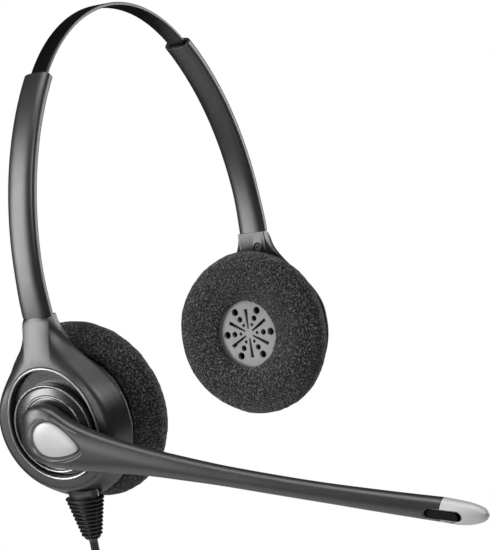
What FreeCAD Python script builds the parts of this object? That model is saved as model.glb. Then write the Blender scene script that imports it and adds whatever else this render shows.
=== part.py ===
import FreeCAD, Part
import Sketcher
import math
import os

# Binaural office headset with a microphone boom, in millimetres.
# Origin: the middle of the underside of the headband, where the crown of the head touches it.
# +Z is up, +Y is the way the wearer faces (the boom points there), +X is the wearer's right.
# The right cup (R) carries the boom and the cord, and the left cup (L) has a plain cap.

Vector = FreeCAD.Vector
doc = FreeCAD.newDocument("headset")

# ---------------------------------------------------------------- driving dimensions
DIMS = {
    # headband: a crown arc, then two tails that run inside the arms
    "crown_radius": 52.0,
    "crown_half_angle": 46.5,
    "band_width": 5.8,
    "band_thickness": 1.1,
    "spring_width": 4.2,
    "spring_thickness": 0.4,
    "wire_width": 0.6,
    "tail_angle": 26.0,
    "stop_thickness": 1.9,
    "stop_angle": 1.5,
    # arms: hollow sleeves on a larger arc, whose centre is the telescoping axis
    "arm_radius": 85.0,
    "arm_angle": 48.0,
    "arm_width": 8.6,
    "arm_half_depth": 2.1,
    "arm_parting": 0.4,
    "arm_corner": 1.3,
    "sleeve_width": 6.6,
    "sleeve_half_depth": 1.15,
    "mouth_angle": 1.2,
    "mouth_half_depth": 0.85,
    # cups: the cup's own frame has x across, y up along the cup and z outward
    "cup_lean": 4.5,
    "cup_drop": 31.5,
    "cup_inset": 9.7,
    "housing_radius": 22.5,
    "housing_back": 9.2,
    "housing_face": 15.6,
    "housing_wall": 1.6,
    "neck_back": 7.6,
    "neck_half_width": 4.6,
    "floor_low": 12.0,
    "floor_high": 13.0,
    "face_radius": 18.3,
    "well_radius": 14.5,
    "well_top": 17.3,
    "trim_width": 0.85,
    "trim_height": 0.5,
    "shaft_radius": 3.8,
    "shaft_clearance": 0.3,
    "turret_radius": 13.1,
    "turret_base": 14.1,
    "turret_top": 16.4,
    # receiver capsule, its pivot and its foam cushion
    "foam_radius": 27.0,
    "foam_half_depth": 6.5,
    "foam_hole": 9.8,
    "flange_radius": 23.3,
    "flange_front": 2.4,
    "capsule_radius": 19.5,
    "capsule_back": 5.5,
    "grille_radius": 17.9,
    "grille_thickness": 1.2,
    "pivot_height": 7.9,
    "pin_radius": 0.8,
    "pin_clearance": 0.06,
    # boom
    "boom_droop": 14.2,
    "boom_length": 118.0,
    "boom_axis_drop": 2.6,
    "boom_height": 20.3,
    "boom_curve": 0.0007,
    "badge_thickness": 0.7,
    # cord and its connector
    "cord_diameter": 2.4,
    "relief_length": 12.5,
    "relief_pitch": 1.45,
    "relief_tilt": 3.5,
    "relief_shift": 1.8,
}
sheet = doc.addObject("Spreadsheet::Sheet", "dims")
for row, (alias, value) in enumerate(DIMS.items(), start=1):
    sheet.set(f"A{row}", alias)
    sheet.set(f"B{row}", str(value))
    sheet.setAlias(f"B{row}", alias)
doc.recompute()


def dim(alias):
    """The value of a driving dimension, read back from the sheet."""
    return float(sheet.get(alias))


# ---------------------------------------------------------------- places of the arms and cups
BAND_MID = dim("crown_radius") - dim("band_thickness") / 2
ARM_START = math.radians(dim("crown_half_angle"))
ARM_END = ARM_START + math.radians(dim("arm_angle"))
LEAN = math.radians(dim("cup_lean"))
ARM_CENTRE_X = (dim("crown_radius") - dim("arm_radius")) * math.sin(ARM_START)
ARM_CENTRE_Z = (dim("crown_radius") - dim("arm_radius")) * math.cos(ARM_START) - BAND_MID
CUP_X = (ARM_CENTRE_X + dim("arm_radius") * math.sin(ARM_END)
         - dim("cup_drop") * math.sin(LEAN) - dim("cup_inset") * math.cos(LEAN))
CUP_Z = (ARM_CENTRE_Z + dim("arm_radius") * math.cos(ARM_END)
         - dim("cup_drop") * math.cos(LEAN) + dim("cup_inset") * math.sin(LEAN))
SIDES = {"R": 1, "L": -1}


def placement(origin, x_axis, y_axis, z_axis):
    """A placement from an origin and three perpendicular axes."""
    matrix = FreeCAD.Matrix(x_axis[0], y_axis[0], z_axis[0], origin[0],
                            x_axis[1], y_axis[1], z_axis[1], origin[1],
                            x_axis[2], y_axis[2], z_axis[2], origin[2],
                            0, 0, 0, 1)
    return FreeCAD.Placement(matrix)


def arc_place(centre_x, centre_z, angle, side):
    """The frame of an arc about an axis parallel to Y: x is radial at the angle, z is the axis."""
    radial = (side * math.sin(angle), 0, math.cos(angle))
    tangent = (side * math.cos(angle), 0, -math.sin(angle))
    return placement((side * centre_x, 0, centre_z), radial, tangent, (0, side, 0))


def cup_place(side):
    """The frame of a cup: x forward on the right cup and backward on the left, z outward."""
    return placement((side * CUP_X, 0, CUP_Z), (0, side, 0),
                     (side * math.sin(LEAN), 0, math.cos(LEAN)),
                     (side * math.cos(LEAN), 0, -math.sin(LEAN)))


PARTS = []


def register(feature, label, place=None):
    """Name a finished sub-part, put it in its place and list it for export."""
    feature.Label = label
    if place is not None:
        feature.Placement = place
    PARTS.append(feature)
    return feature


# ---------------------------------------------------------------- building blocks
def new_body(label, place=None):
    return register(doc.addObject("PartDesign::Body", label), label, place)


def new_sketch(body, role, height=None, shift=None):
    """A sketch on one of the body's own origin planes, raised along the plane's normal."""
    sketch = body.newObject("Sketcher::SketchObject", "profile")
    plane = next(item for item in body.Origin.OriginFeatures if item.Role == role)
    sketch.AttachmentSupport = (plane, [""])
    sketch.MapMode = "FlatFace"
    if shift is not None:
        sketch.AttachmentOffset = FreeCAD.Placement(Vector(*shift), FreeCAD.Rotation())
    if height is not None:
        sketch.setExpression("AttachmentOffset.Base.z", height)
    return sketch


def outline(sketch, edges):
    """Add a closed chain of edges and join each one to the next where their ends meet."""
    first = sketch.GeometryCount
    for edge in edges:
        sketch.addGeometry(edge, False)
    count = len(edges)
    for step in range(count):
        here = first + step
        follower = first + (step + 1) % count
        pairs = [(sketch.getPoint(here, a).distanceToPoint(sketch.getPoint(follower, b)), a, b)
                 for a in (1, 2) for b in (1, 2)]
        gap, here_end, follower_end = min(pairs)
        sketch.addConstraint(
            Sketcher.Constraint("Coincident", here, here_end, follower, follower_end))


def polygon(sketch, points):
    """A closed polygon through the given points."""
    ends = points[1:] + points[:1]
    outline(sketch, [Part.LineSegment(Vector(*a, 0), Vector(*b, 0)) for a, b in zip(points, ends)])


def rectangle(sketch, x_low, y_low, x_high, y_high):
    polygon(sketch, [(x_low, y_low), (x_high, y_low), (x_high, y_high), (x_low, y_high)])


def corner(start, end, centre):
    """A quarter-round corner from start to end about its centre."""
    middle = Vector(start[0] + end[0] - 2 * centre[0], start[1] + end[1] - 2 * centre[1], 0)
    middle.normalize()
    radius = math.dist(start, centre)
    middle = Vector(*centre, 0) + middle * radius
    return Part.Arc(Vector(*start, 0), middle, Vector(*end, 0))


def rounded_rectangle(sketch, half_x, half_y, bend):
    """A rectangle about the middle of the sketch with quarter-round corners."""
    edges = []
    for turn_x, turn_y in ((1, 1), (-1, 1), (-1, -1), (1, -1)):
        centre = (turn_x * (half_x - bend), turn_y * (half_y - bend))
        on_side = (turn_x * half_x, centre[1])
        on_top = (centre[0], turn_y * half_y)
        start, end = (on_side, on_top) if turn_x * turn_y > 0 else (on_top, on_side)
        edges.append((start, end, centre))
    chain = []
    for index, (start, end, centre) in enumerate(edges):
        follower = edges[(index + 1) % 4][0]
        chain.append(corner(start, end, centre))
        chain.append(Part.LineSegment(Vector(*end, 0), Vector(*follower, 0)))
    outline(sketch, chain)


def circle(sketch, radius, expression, centre=(0, 0)):
    """A circle whose radius is bound to the sheet, centred on a fixed point."""
    index = sketch.addGeometry(Part.Circle(Vector(*centre, 0), Vector(0, 0, 1), radius), False)
    bound = sketch.addConstraint(Sketcher.Constraint("Radius", index, radius))
    sketch.setExpression(f"Constraints[{bound}]", expression)
    if centre == (0, 0):
        sketch.addConstraint(Sketcher.Constraint("Coincident", index, 3, -1, 1))


def add_pad(body, sketch, length, upward=True):
    pad = body.newObject("PartDesign::Pad", "pad")
    pad.Profile = sketch
    pad.setExpression("Length", length)
    pad.Reversed = not upward
    return pad


def add_pocket(body, sketch, length, upward=True):
    """Cut a sketch away, up or down along its normal. No length cuts right through."""
    pocket = body.newObject("PartDesign::Pocket", "pocket")
    pocket.Profile = sketch
    pocket.Reversed = upward
    if length is None:
        pocket.Type = "ThroughAll"
    else:
        pocket.setExpression("Length", length)
    return pocket


def add_revolution(body, sketch, angle):
    """Turn a sketch about its own vertical axis."""
    turned = body.newObject("PartDesign::Revolution", "revolution")
    turned.Profile = sketch
    turned.ReferenceAxis = (sketch, ["V_Axis"])
    turned.setExpression("Angle", angle)
    return turned


def add_loft(body, sections, ruled):
    loft = body.newObject("PartDesign::AdditiveLoft", "loft")
    loft.Profile = sections[0]
    loft.Sections = sections[1:]
    loft.Ruled = ruled
    return loft


def turned_part(label, points, place):
    """A solid of revolution about the cup's z axis, from (radius, height) points."""
    body = new_body(label, place)
    sketch = new_sketch(body, "XZ_Plane")
    polygon(sketch, points)
    add_revolution(body, sketch, "360 deg")
    return body


def cylinder(name, radius, height, base_z):
    shape = doc.addObject("Part::Cylinder", name)
    shape.setExpression("Radius", radius)
    shape.setExpression("Height", height)
    shape.setExpression("Placement.Base.z", base_z)
    return shape


def ring_part(label, outer, inner, height, base_z, place):
    """A flat ring about the cup's z axis, made of two cylinders bound to the sheet."""
    ring = doc.addObject("Part::Cut", label)
    ring.Base = cylinder(label + "_outer", outer, height, base_z)
    ring.Tool = cylinder(label + "_inner", inner, height, base_z)
    return register(ring, label, place)


def disc_part(label, radius, height, base_z, place):
    """A plain disc about the cup's z axis."""
    body = new_body(label, place)
    sketch = new_sketch(body, "XY_Plane", base_z)
    circle(sketch, 1.0, radius)
    add_pad(body, sketch, height)
    return body


# ---------------------------------------------------------------- headband
HALF_BAND = dim("band_thickness") / 2
HALF_SPRING = dim("spring_thickness") / 2
SPRING_EDGE = dim("spring_width") / 2
# sections are (low, high) across the width and (low, high) through the thickness
SLEEVE_SECTION = (-dim("band_width") / 2, dim("band_width") / 2, -HALF_BAND, HALF_BAND)
SPRING_SECTION = (-SPRING_EDGE - 0.3, SPRING_EDGE - 0.7, -HALF_SPRING, HALF_SPRING)
WIRE_SECTION = (SPRING_EDGE - 0.4, SPRING_EDGE - 0.4 + dim("wire_width"), -0.25, 0.25)


def section_box(sketch, radius, section):
    rectangle(sketch, radius + section[2], section[0], radius + section[3], section[1])


def band_layer(label, section, hollows=()):
    """One layer of the band: the crown arc, then a tail on the arm's arc at each end."""
    body = new_body(label, arc_place(0, -BAND_MID, 0, 1))
    centre_step = dim("arm_radius") - dim("crown_radius")
    stretches = [(-ARM_START, "crown_radius", 0, "2 * dims.crown_half_angle * 1 deg", False),
                 (ARM_START, "arm_radius", 1, "dims.tail_angle * 1 deg", False),
                 (-ARM_START, "arm_radius", -1, "dims.tail_angle * 1 deg", True)]
    for start, radius, side, sweep, backward in stretches:
        sketch = new_sketch(body, "XZ_Plane")
        # the sketch lies in the radial plane at the stretch's start angle
        turn = FreeCAD.Rotation(Vector(0, 1, 0), math.degrees(start))
        centre = Vector(-abs(side) * centre_step * math.cos(ARM_START), 0,
                        side * centre_step * math.sin(ARM_START))
        sketch.AttachmentOffset = FreeCAD.Placement(centre, turn)
        section_box(sketch, dim(radius), section)
        for hollow in hollows:
            section_box(sketch, dim(radius), hollow)
        add_revolution(body, sketch, sweep).Reversed = backward
    return body


band_layer("band_sleeve", SLEEVE_SECTION, (SPRING_SECTION, WIRE_SECTION))
band_layer("band_spring", SPRING_SECTION)
band_layer("band_wire", WIRE_SECTION)


# ---------------------------------------------------------------- arms
def arm_half(sketch, outward):
    """Half of the arm's hollow section: the outer shell, or the inner cover that closes it."""
    radius = dim("arm_radius")
    half = dim("arm_width") / 2
    slot = dim("sleeve_width") / 2
    bend = dim("arm_corner")
    face = radius + outward * dim("arm_half_depth")
    shoulder = face - outward * bend
    roof = radius + outward * dim("sleeve_half_depth")
    split = radius - dim("arm_parting")
    chain = [(split, slot), (split, half), (shoulder, half)]
    edges = [Part.LineSegment(Vector(*a, 0), Vector(*b, 0)) for a, b in zip(chain, chain[1:])]
    edges.append(corner((shoulder, half), (face, half - bend), (shoulder, half - bend)))
    edges.append(Part.LineSegment(Vector(face, half - bend, 0), Vector(face, bend - half, 0)))
    edges.append(corner((face, bend - half), (shoulder, -half), (shoulder, bend - half)))
    chain = [(shoulder, -half), (split, -half), (split, -slot), (roof, -slot), (roof, slot),
             (split, slot)]
    edges += [Part.LineSegment(Vector(*a, 0), Vector(*b, 0)) for a, b in zip(chain, chain[1:])]
    outline(sketch, edges)


def arm_part(label, side, outward):
    body = new_body(label, arc_place(ARM_CENTRE_X, ARM_CENTRE_Z, ARM_START, side))
    sketch = new_sketch(body, "XZ_Plane")
    arm_half(sketch, outward)
    add_revolution(body, sketch, "dims.arm_angle * 1 deg")
    return body


def arm_mouth(label, side):
    """The bush in the sleeve's upper end, which guides the band and keeps its stop in."""
    body = new_body(label, arc_place(ARM_CENTRE_X, ARM_CENTRE_Z, ARM_START, side))
    sketch = new_sketch(body, "XZ_Plane")
    slot = dim("sleeve_width") / 2
    deep = dim("sleeve_half_depth")
    gap = dim("mouth_half_depth")
    section_box(sketch, dim("arm_radius"), (-slot, slot, -deep, deep))
    section_box(sketch, dim("arm_radius"), (-slot + 0.1, slot - 0.1, -gap, gap))
    add_revolution(body, sketch, "dims.mouth_angle * 1 deg")


def band_stop(label, side):
    """The block on the end of the band's tail, thicker than the mouth bush lets through."""
    tail_end = ARM_START + math.radians(dim("tail_angle"))
    body = new_body(label, arc_place(ARM_CENTRE_X, ARM_CENTRE_Z, tail_end, side))
    sketch = new_sketch(body, "XZ_Plane")
    half = dim("stop_thickness") / 2
    section_box(sketch, dim("arm_radius"), (SLEEVE_SECTION[0], SLEEVE_SECTION[1], -half, half))
    add_revolution(body, sketch, "dims.stop_angle * 1 deg")


for name, side in SIDES.items():
    arm_part("arm_shell_" + name, side, 1)
    arm_part("arm_cover_" + name, side, -1)
    arm_mouth("arm_mouth_" + name, side)
    band_stop("band_stop_" + name, side)


# ---------------------------------------------------------------- cup housings
def teardrop(radius, tip_height, tip_half, fullness):
    """A teardrop outline: a round bottom, flanks on a cosine blend, and a flat tip on top."""
    start = math.radians(5)
    foot_x = radius * math.cos(start)
    foot_y = radius * math.sin(start)

    def flank(step):
        share = (1 + math.cos(math.pi * step ** fullness)) / 2
        return (tip_half + (foot_x - tip_half) * share, foot_y + (tip_height - foot_y) * step)

    right = [flank(step / 6) for step in range(7)]
    left = [(-x, y) for x, y in reversed(right)]
    right_curve = Part.BSplineCurve()
    right_curve.interpolate([Vector(x, y, 0) for x, y in right])
    left_curve = Part.BSplineCurve()
    left_curve.interpolate([Vector(x, y, 0) for x, y in left])
    bottom = Part.Arc(Vector(*left[-1], 0), Vector(0, -radius, 0), Vector(*right[0], 0))
    return [bottom, right_curve,
            Part.LineSegment(Vector(*right[-1], 0), Vector(*left[0], 0)), left_curve]


def egg(radius, top):
    """An egg outline about the cup's axis: a half circle below and a taller half oval above."""
    slant = radius * math.sqrt(0.5)
    left = Part.Arc(Vector(-radius, 0, 0), Vector(-slant, -slant, 0), Vector(0, -radius, 0))
    right = Part.Arc(Vector(0, -radius, 0), Vector(slant, -slant, 0), Vector(radius, 0, 0))
    oval = Part.Ellipse(Vector(0, top, 0), Vector(radius, 0, 0), Vector(0, 0, 0))
    above = Part.ArcOfEllipse(oval, -math.pi / 2, math.pi / 2)
    return [left, right, above]


NECK = dim("cup_drop")
FULL = dim("housing_radius")
# each level: height, radius, tip height, tip half-width, fullness of the flanks
HOUSING_LEVELS = [
    (dim("neck_back"), FULL, NECK, dim("neck_half_width"), 1.1),
    (dim("neck_back") + 2.9, FULL, NECK, dim("neck_half_width"), 1.1),
    (dim("neck_back") + 4.2, FULL - 0.6, NECK, dim("neck_half_width") - 1.2, 1.15),
    (dim("housing_face") - 1.9, FULL - 2.1, NECK - 7.5, dim("neck_half_width") - 1.4, 1.5),
    (dim("housing_face"), dim("face_radius"), dim("face_radius") + 0.9, 3.0, 2.2),
]
# the room behind the face, which the back plate closes
CHAMBER = teardrop(FULL - dim("housing_wall") - 0.5, NECK - 9, 4.0, 1.3)
# the collar under the right cup: half-width, half-depth, height over the cup and drop
COLLAR_HALF = (5.8, 3.0)
RELIEF_HEIGHT = 12.2
COLLAR_DROP = 0.3
COLLAR_START = FULL - 5
SCREW_X = 2.0
SCREW_Y = 26.6
SCREW_HEAD = 1.3
SCREW_HEAD_HEIGHT = 1.0
SCREW_SHANK = 0.7
SCREW_SHANK_LENGTH = 2.0
SCREW_SINK = 0.3


def housing_part(label, side, with_cord):
    """The cup's outer shell: a domed teardrop, hollow behind, with a round well in its face."""
    body = new_body(label, cup_place(side))
    sections = []
    for height, *shape in HOUSING_LEVELS:
        sketch = new_sketch(body, "XY_Plane", f"{height} mm")
        outline(sketch, teardrop(*shape))
        sections.append(sketch)
    add_loft(body, sections, True)
    if with_cord:
        # the collar under the cup, which the strain relief hangs from
        collar = new_sketch(body, "XZ_Plane", f"{COLLAR_START} mm")
        middle = Vector(dim("relief_shift"), RELIEF_HEIGHT, 0)
        collar.addGeometry(Part.Ellipse(middle, *COLLAR_HALF), False)
        add_pad(body, collar, f"{FULL + COLLAR_DROP - COLLAR_START} mm")
    rear = new_sketch(body, "XY_Plane", "dims.housing_back * 1 mm")
    rectangle(rear, -FULL - 2, -FULL - 2, FULL + 2, NECK - 7)
    add_pocket(body, rear, "10 mm", upward=False)
    chamber = new_sketch(body, "XY_Plane", "dims.housing_back * 1 mm")
    outline(chamber, CHAMBER)
    add_pocket(body, chamber, "(dims.floor_low - dims.housing_back) * 1 mm")
    well = new_sketch(body, "XY_Plane", "dims.floor_high * 1 mm")
    outline(well, egg(dim("well_radius"), dim("well_top")))
    add_pocket(body, well, None)
    if with_cord:
        shaft = new_sketch(body, "XY_Plane", "dims.floor_low * 1 mm")
        circle(shaft, 1.0, "(dims.shaft_radius + dims.shaft_clearance) * 1 mm")
        add_pocket(body, shaft, None)
        # the cord's way through the lower wall
        entry = new_sketch(body, "XZ_Plane", f"{COLLAR_START} mm")
        circle(entry, 1.0, "dims.cord_diameter * 0.9 mm", (dim("relief_shift"), RELIEF_HEIGHT))
        add_pocket(body, entry, None)
    screw = new_sketch(body, "XY_Plane", "dims.neck_back * 1 mm")
    circle(screw, 1.0, f"{SCREW_HEAD + 0.2} mm", (SCREW_X * side, SCREW_Y))
    add_pocket(body, screw, f"{SCREW_SINK + SCREW_HEAD_HEIGHT} mm")
    bore = new_sketch(body, "XY_Plane", "dims.neck_back * 1 mm")
    circle(bore, 1.0, f"{SCREW_SHANK} mm", (SCREW_X * side, SCREW_Y))
    add_pocket(body, bore, f"{SCREW_SINK + SCREW_HEAD_HEIGHT + SCREW_SHANK_LENGTH} mm")
    return body


def neck_screw(label, side):
    """The screw that holds the arm's foot in the neck, set into the neck's inner face."""
    body = new_body(label, cup_place(side))
    low = dim("neck_back") + SCREW_SINK
    head = new_sketch(body, "XY_Plane", f"{low} mm")
    circle(head, 1.0, f"{SCREW_HEAD} mm", (SCREW_X * side, SCREW_Y))
    add_pad(body, head, f"{SCREW_HEAD_HEIGHT} mm")
    shank = new_sketch(body, "XY_Plane", f"{low + SCREW_HEAD_HEIGHT} mm")
    circle(shank, 1.0, f"{SCREW_SHANK} mm", (SCREW_X * side, SCREW_Y))
    add_pad(body, shank, f"{SCREW_SHANK_LENGTH} mm")
    slot = new_sketch(body, "XY_Plane", f"{low} mm")
    cross_x = SCREW_X * side
    rectangle(slot, cross_x - 0.9, SCREW_Y - 0.2, cross_x + 0.9, SCREW_Y + 0.2)
    add_pocket(body, slot, "0.5 mm")


EAR_INNER = 5.0
EAR_OUTER = 7.0
EAR_HALF = 2.3
BACK_THICKNESS = 1.2


def housing_back(label, side):
    """The plate that closes the housing, with two ears for the capsule's pivot pin."""
    body = new_body(label, cup_place(side))
    plate = new_sketch(body, "XY_Plane", "dims.housing_back * 1 mm")
    outline(plate, CHAMBER)
    add_pad(body, plate, f"{BACK_THICKNESS} mm")
    reach = dim("housing_back") - dim("pivot_height")
    for sign in (-1, 1):
        ear = new_sketch(body, "YZ_Plane", f"{min(sign * EAR_INNER, sign * EAR_OUTER)} mm")
        low = dim("pivot_height")
        side_edges = [Part.LineSegment(Vector(EAR_HALF, low, 0), Vector(EAR_HALF, low + reach, 0)),
                      Part.LineSegment(Vector(EAR_HALF, low + reach, 0),
                                       Vector(-EAR_HALF, low + reach, 0)),
                      Part.LineSegment(Vector(-EAR_HALF, low + reach, 0),
                                       Vector(-EAR_HALF, low, 0)),
                      Part.Arc(Vector(-EAR_HALF, low, 0), Vector(0, low - 1.8, 0),
                               Vector(EAR_HALF, low, 0))]
        outline(ear, side_edges)
        add_pad(body, ear, f"{EAR_OUTER - EAR_INNER} mm")
    pin = new_sketch(body, "YZ_Plane")
    circle(pin, 1.0, "dims.pin_radius * 1 mm", (0, dim("pivot_height")))
    bore = add_pocket(body, pin, None)
    bore.Midplane = True
    return body


def pivot_pin(label, side):
    """The steel pin through the housing's ears and the capsule's lug."""
    pin = doc.addObject("Part::Cylinder", label)
    pin.setExpression("Radius", "dims.pin_radius * 1 mm")
    pin.setExpression("Height", f"{2 * EAR_OUTER + 0.4} mm")
    along = placement((-EAR_OUTER - 0.2, 0, dim("pivot_height")), (0, 1, 0), (0, 0, 1), (1, 0, 0))
    register(pin, label, cup_place(side).multiply(along))


def trim_ring(label, side):
    """The bright egg-shaped ring round the well's edge."""
    body = new_body(label, cup_place(side))
    sketch = new_sketch(body, "XY_Plane", "dims.housing_face * 1 mm")
    for grow in (0, dim("trim_width")):
        outline(sketch, egg(dim("well_radius") + grow, dim("well_top") + grow))
    add_pad(body, sketch, "dims.trim_height * 1 mm")


PLATE_GAP = 0.25
PLATE_HOLE = 7.8
PLATE_THICKNESS = 0.9


def well_plate(label, side):
    """The fixed plate on the well's floor, with a round hole for the dial's shaft."""
    body = new_body(label, cup_place(side))
    sketch = new_sketch(body, "XY_Plane", "dims.floor_high * 1 mm")
    outline(sketch, egg(dim("well_radius") - PLATE_GAP, dim("well_top") - PLATE_GAP))
    circle(sketch, PLATE_HOLE, f"{PLATE_HOLE} mm")
    add_pad(body, sketch, f"{PLATE_THICKNESS} mm")
    return body


for name, side in SIDES.items():
    housing_part("housing_shell_" + name, side, name == "R")
    neck_screw("neck_screw_" + name, side)
    housing_back("housing_back_" + name, side)
    pivot_pin("pivot_pin_" + name, side)
    trim_ring("trim_ring_" + name, side)
    well_plate("well_plate_" + name, side)


# ---------------------------------------------------------------- receiver capsules
def capsule_shell(label, side):
    """The receiver's cup: a flange in front for the foam and grille, and a lug behind."""
    flange = dim("flange_radius")
    wide = dim("capsule_radius")
    front = -dim("flange_front")
    rear = dim("capsule_back")
    seat = dim("grille_radius") + 0.1
    profile = [(0, rear), (wide - 1, rear), (wide, rear - 1), (wide, front + 1.4),
               (flange, front + 1.4), (flange, front), (seat, front), (seat, rear - 1.2),
               (0, rear - 1.2)]
    body = turned_part(label, profile, cup_place(side))
    lug = new_sketch(body, "YZ_Plane", f"{0.3 - EAR_INNER} mm")
    top = dim("pivot_height")
    half = EAR_HALF - 0.5
    outline(lug, [Part.LineSegment(Vector(-half, rear - 0.4, 0), Vector(half, rear - 0.4, 0)),
                  Part.LineSegment(Vector(half, rear - 0.4, 0), Vector(half, top - 0.6, 0)),
                  Part.Arc(Vector(half, top - 0.6, 0), Vector(0, top + 1.0, 0),
                           Vector(-half, top - 0.6, 0)),
                  Part.LineSegment(Vector(-half, top - 0.6, 0), Vector(-half, rear - 0.4, 0))])
    add_pad(body, lug, f"{2 * (EAR_INNER - 0.3)} mm")
    hole = new_sketch(body, "YZ_Plane")
    circle(hole, 1.0, "(dims.pin_radius + dims.pin_clearance) * 1 mm", (0, dim("pivot_height")))
    add_pocket(body, hole, None).Midplane = True
    return body


SLOT_START = 1.5
SLOT_END = 7.9
SLOT_HALF_START = 0.25
SLOT_HALF_END = 0.65
# the holes between two slots: distance from the middle and radius
SOUND_HOLES = ((3.1, 0.55), (5.4, 0.95), (8.2, 1.2))


def grille_plate(label, side):
    """The receiver's front: six tapered slots, and rows of three holes between them."""
    body = new_body(label, cup_place(side))
    disc = new_sketch(body, "XY_Plane", "-dims.flange_front * 1 mm")
    circle(disc, 1.0, "dims.grille_radius * 1 mm")
    add_pad(body, disc, "dims.grille_thickness * 1 mm")
    cut = new_sketch(body, "XY_Plane", "-dims.flange_front * 1 mm")
    polygon(cut, [(-SLOT_HALF_START, SLOT_START), (-SLOT_HALF_END, SLOT_END),
                  (SLOT_HALF_END, SLOT_END), (SLOT_HALF_START, SLOT_START)])
    for distance, radius in SOUND_HOLES:
        angle = math.radians(60)
        centre = (distance * math.cos(angle), distance * math.sin(angle))
        circle(cut, radius, f"{radius} mm", centre)
    first = add_pocket(body, cut, "dims.grille_thickness * 1 mm")
    doc.recompute()
    pattern = body.newObject("PartDesign::PolarPattern", "pattern")
    pattern.Originals = [first]
    pattern.Axis = (next(item for item in body.Origin.OriginFeatures if item.Role == "Z_Axis"), [""])
    pattern.Angle = 360
    pattern.Occurrences = 6
    body.Tip = pattern
    return body


def foam_cushion(label, side):
    """The foam: dished in front round its hole, full at the rim, hooked behind the flange."""
    radius = dim("foam_radius")
    deep = dim("foam_half_depth")
    hole = dim("foam_hole")
    flange = dim("flange_radius") + 0.3
    front = -dim("flange_front") - 0.1
    lip = dim("capsule_radius") + 0.3
    body = new_body(label, cup_place(side))
    sketch = new_sketch(body, "XZ_Plane")
    chain = [(radius, 0.5), (radius - 2.4, deep), (lip, deep), (lip, deep - 2.0),
             (flange, deep - 3.4), (flange, front), (hole, front), (hole, 1.5 - deep)]
    edges = [Part.Arc(Vector(radius - 3.5, -deep + 1.2, 0), Vector(radius - 0.6, -2.4, 0),
                      Vector(radius, 0.5, 0)),
             Part.Arc(Vector(radius, 0.5, 0), Vector(radius - 0.5, 4.2, 0),
                      Vector(radius - 2.4, deep, 0))]
    edges += [Part.LineSegment(Vector(*a, 0), Vector(*b, 0)) for a, b in zip(chain[1:], chain[2:])]
    edges.append(Part.Arc(Vector(hole, 1.5 - deep, 0), Vector(radius - 10, -deep, 0),
                          Vector(radius - 3.5, -deep + 1.2, 0)))
    outline(sketch, edges)
    add_revolution(body, sketch, "360 deg")


# the receiver's driver: frame ring, film cone (radius, height) and magnet
FRAME_OUTER = 14.5
FRAME_INNER = 12.0
FRAME_HEIGHT = 1.8
FRAME_BASE = -0.6
CONE_PROFILE = [(0, -0.2), (7, -0.7), (FRAME_INNER, 0.4), (FRAME_INNER, 0.6), (7, -0.4), (0, 0.1)]
MAGNET_RADIUS = 8.0
MAGNET_HEIGHT = 2.6
MAGNET_BASE = 1.4
for name, side in SIDES.items():
    place = cup_place(side)
    capsule_shell("capsule_shell_" + name, side)
    grille_plate("capsule_grille_" + name, side)
    ring_part("driver_frame_" + name, f"{FRAME_OUTER} mm", f"{FRAME_INNER} mm",
              f"{FRAME_HEIGHT} mm", f"{FRAME_BASE} mm", place)
    turned_part("driver_cone_" + name, CONE_PROFILE, place)
    disc_part("driver_magnet_" + name, f"{MAGNET_RADIUS} mm", f"{MAGNET_HEIGHT} mm",
              f"{MAGNET_BASE} mm", place)
    foam_cushion("foam_cushion_" + name, side)


# ---------------------------------------------------------------- boom turret
TURRET_PLACE = cup_place(1)
SHAFT = dim("shaft_radius")
RIM = dim("turret_radius")
TOP = dim("turret_top")
BASE = dim("turret_base")
CLIP_BASE = dim("floor_low") - 0.9
CLIP_RADIUS = 5.8
CLIP_HEIGHT = 0.7
WASHER_OUTER = 7.4
WASHER_INNER = 4.3
WASHER_HEIGHT = 1.0
# steps of the dial: a bright rim, a groove, a second rim and two fine lines
TURRET_PROFILE = [
    (0, CLIP_BASE - 0.3), (SHAFT, CLIP_BASE - 0.3), (SHAFT, BASE), (RIM, BASE), (RIM, TOP - 0.3),
    (RIM - 0.5, TOP + 0.2), (RIM - 1.2, TOP - 0.6), (RIM - 2.4, TOP - 0.6), (RIM - 2.7, TOP),
    (RIM - 3.3, TOP), (RIM - 3.5, TOP - 0.3), (RIM - 3.9, TOP - 0.3), (RIM - 4.0, TOP), (0, TOP),
]
turned_part("boom_turret", TURRET_PROFILE, TURRET_PLACE)
ring_part("turret_clip", f"{CLIP_RADIUS} mm", "dims.shaft_radius * 1 mm", f"{CLIP_HEIGHT} mm",
          f"{CLIP_BASE} mm", TURRET_PLACE)
ring_part("friction_washer", f"{WASHER_OUTER} mm", f"{WASHER_INNER} mm", f"{WASHER_HEIGHT} mm",
          "dims.floor_high * 1 mm", TURRET_PLACE)
CAP_BASE = dim("floor_high") + PLATE_THICKNESS
turned_part("cap_disc_L", [(0, CAP_BASE), (RIM, CAP_BASE),
                           (RIM, TOP - 0.3), (RIM - 0.5, TOP + 0.2), (RIM - 1.2, TOP - 0.6),
                           (RIM - 2.6, TOP - 0.6), (RIM - 4.0, TOP + 0.4), (0, TOP + 1.2)],
            cup_place(-1))

# ---------------------------------------------------------------- boom
BOOM_PLACE = TURRET_PLACE.multiply(
    FreeCAD.Placement(Vector(), FreeCAD.Rotation(Vector(0, 0, 1), -dim("boom_droop"))))
AXIS_DROP = -dim("boom_axis_drop")
BOOM_END = dim("boom_length")
TIP_LENGTH = 13.6


def boom_height(along):
    """The height of the boom's middle over the cup, which falls towards the mouth."""
    return dim("boom_height") - dim("boom_curve") * along ** 2


def ellipse_section(body, along, half_wide, half_thick, drop):
    sketch = new_sketch(body, "YZ_Plane", f"{along} mm")
    centre = Vector(drop, boom_height(along), 0)
    sketch.addGeometry(Part.Ellipse(centre, half_wide, half_thick), False)
    return sketch


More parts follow.
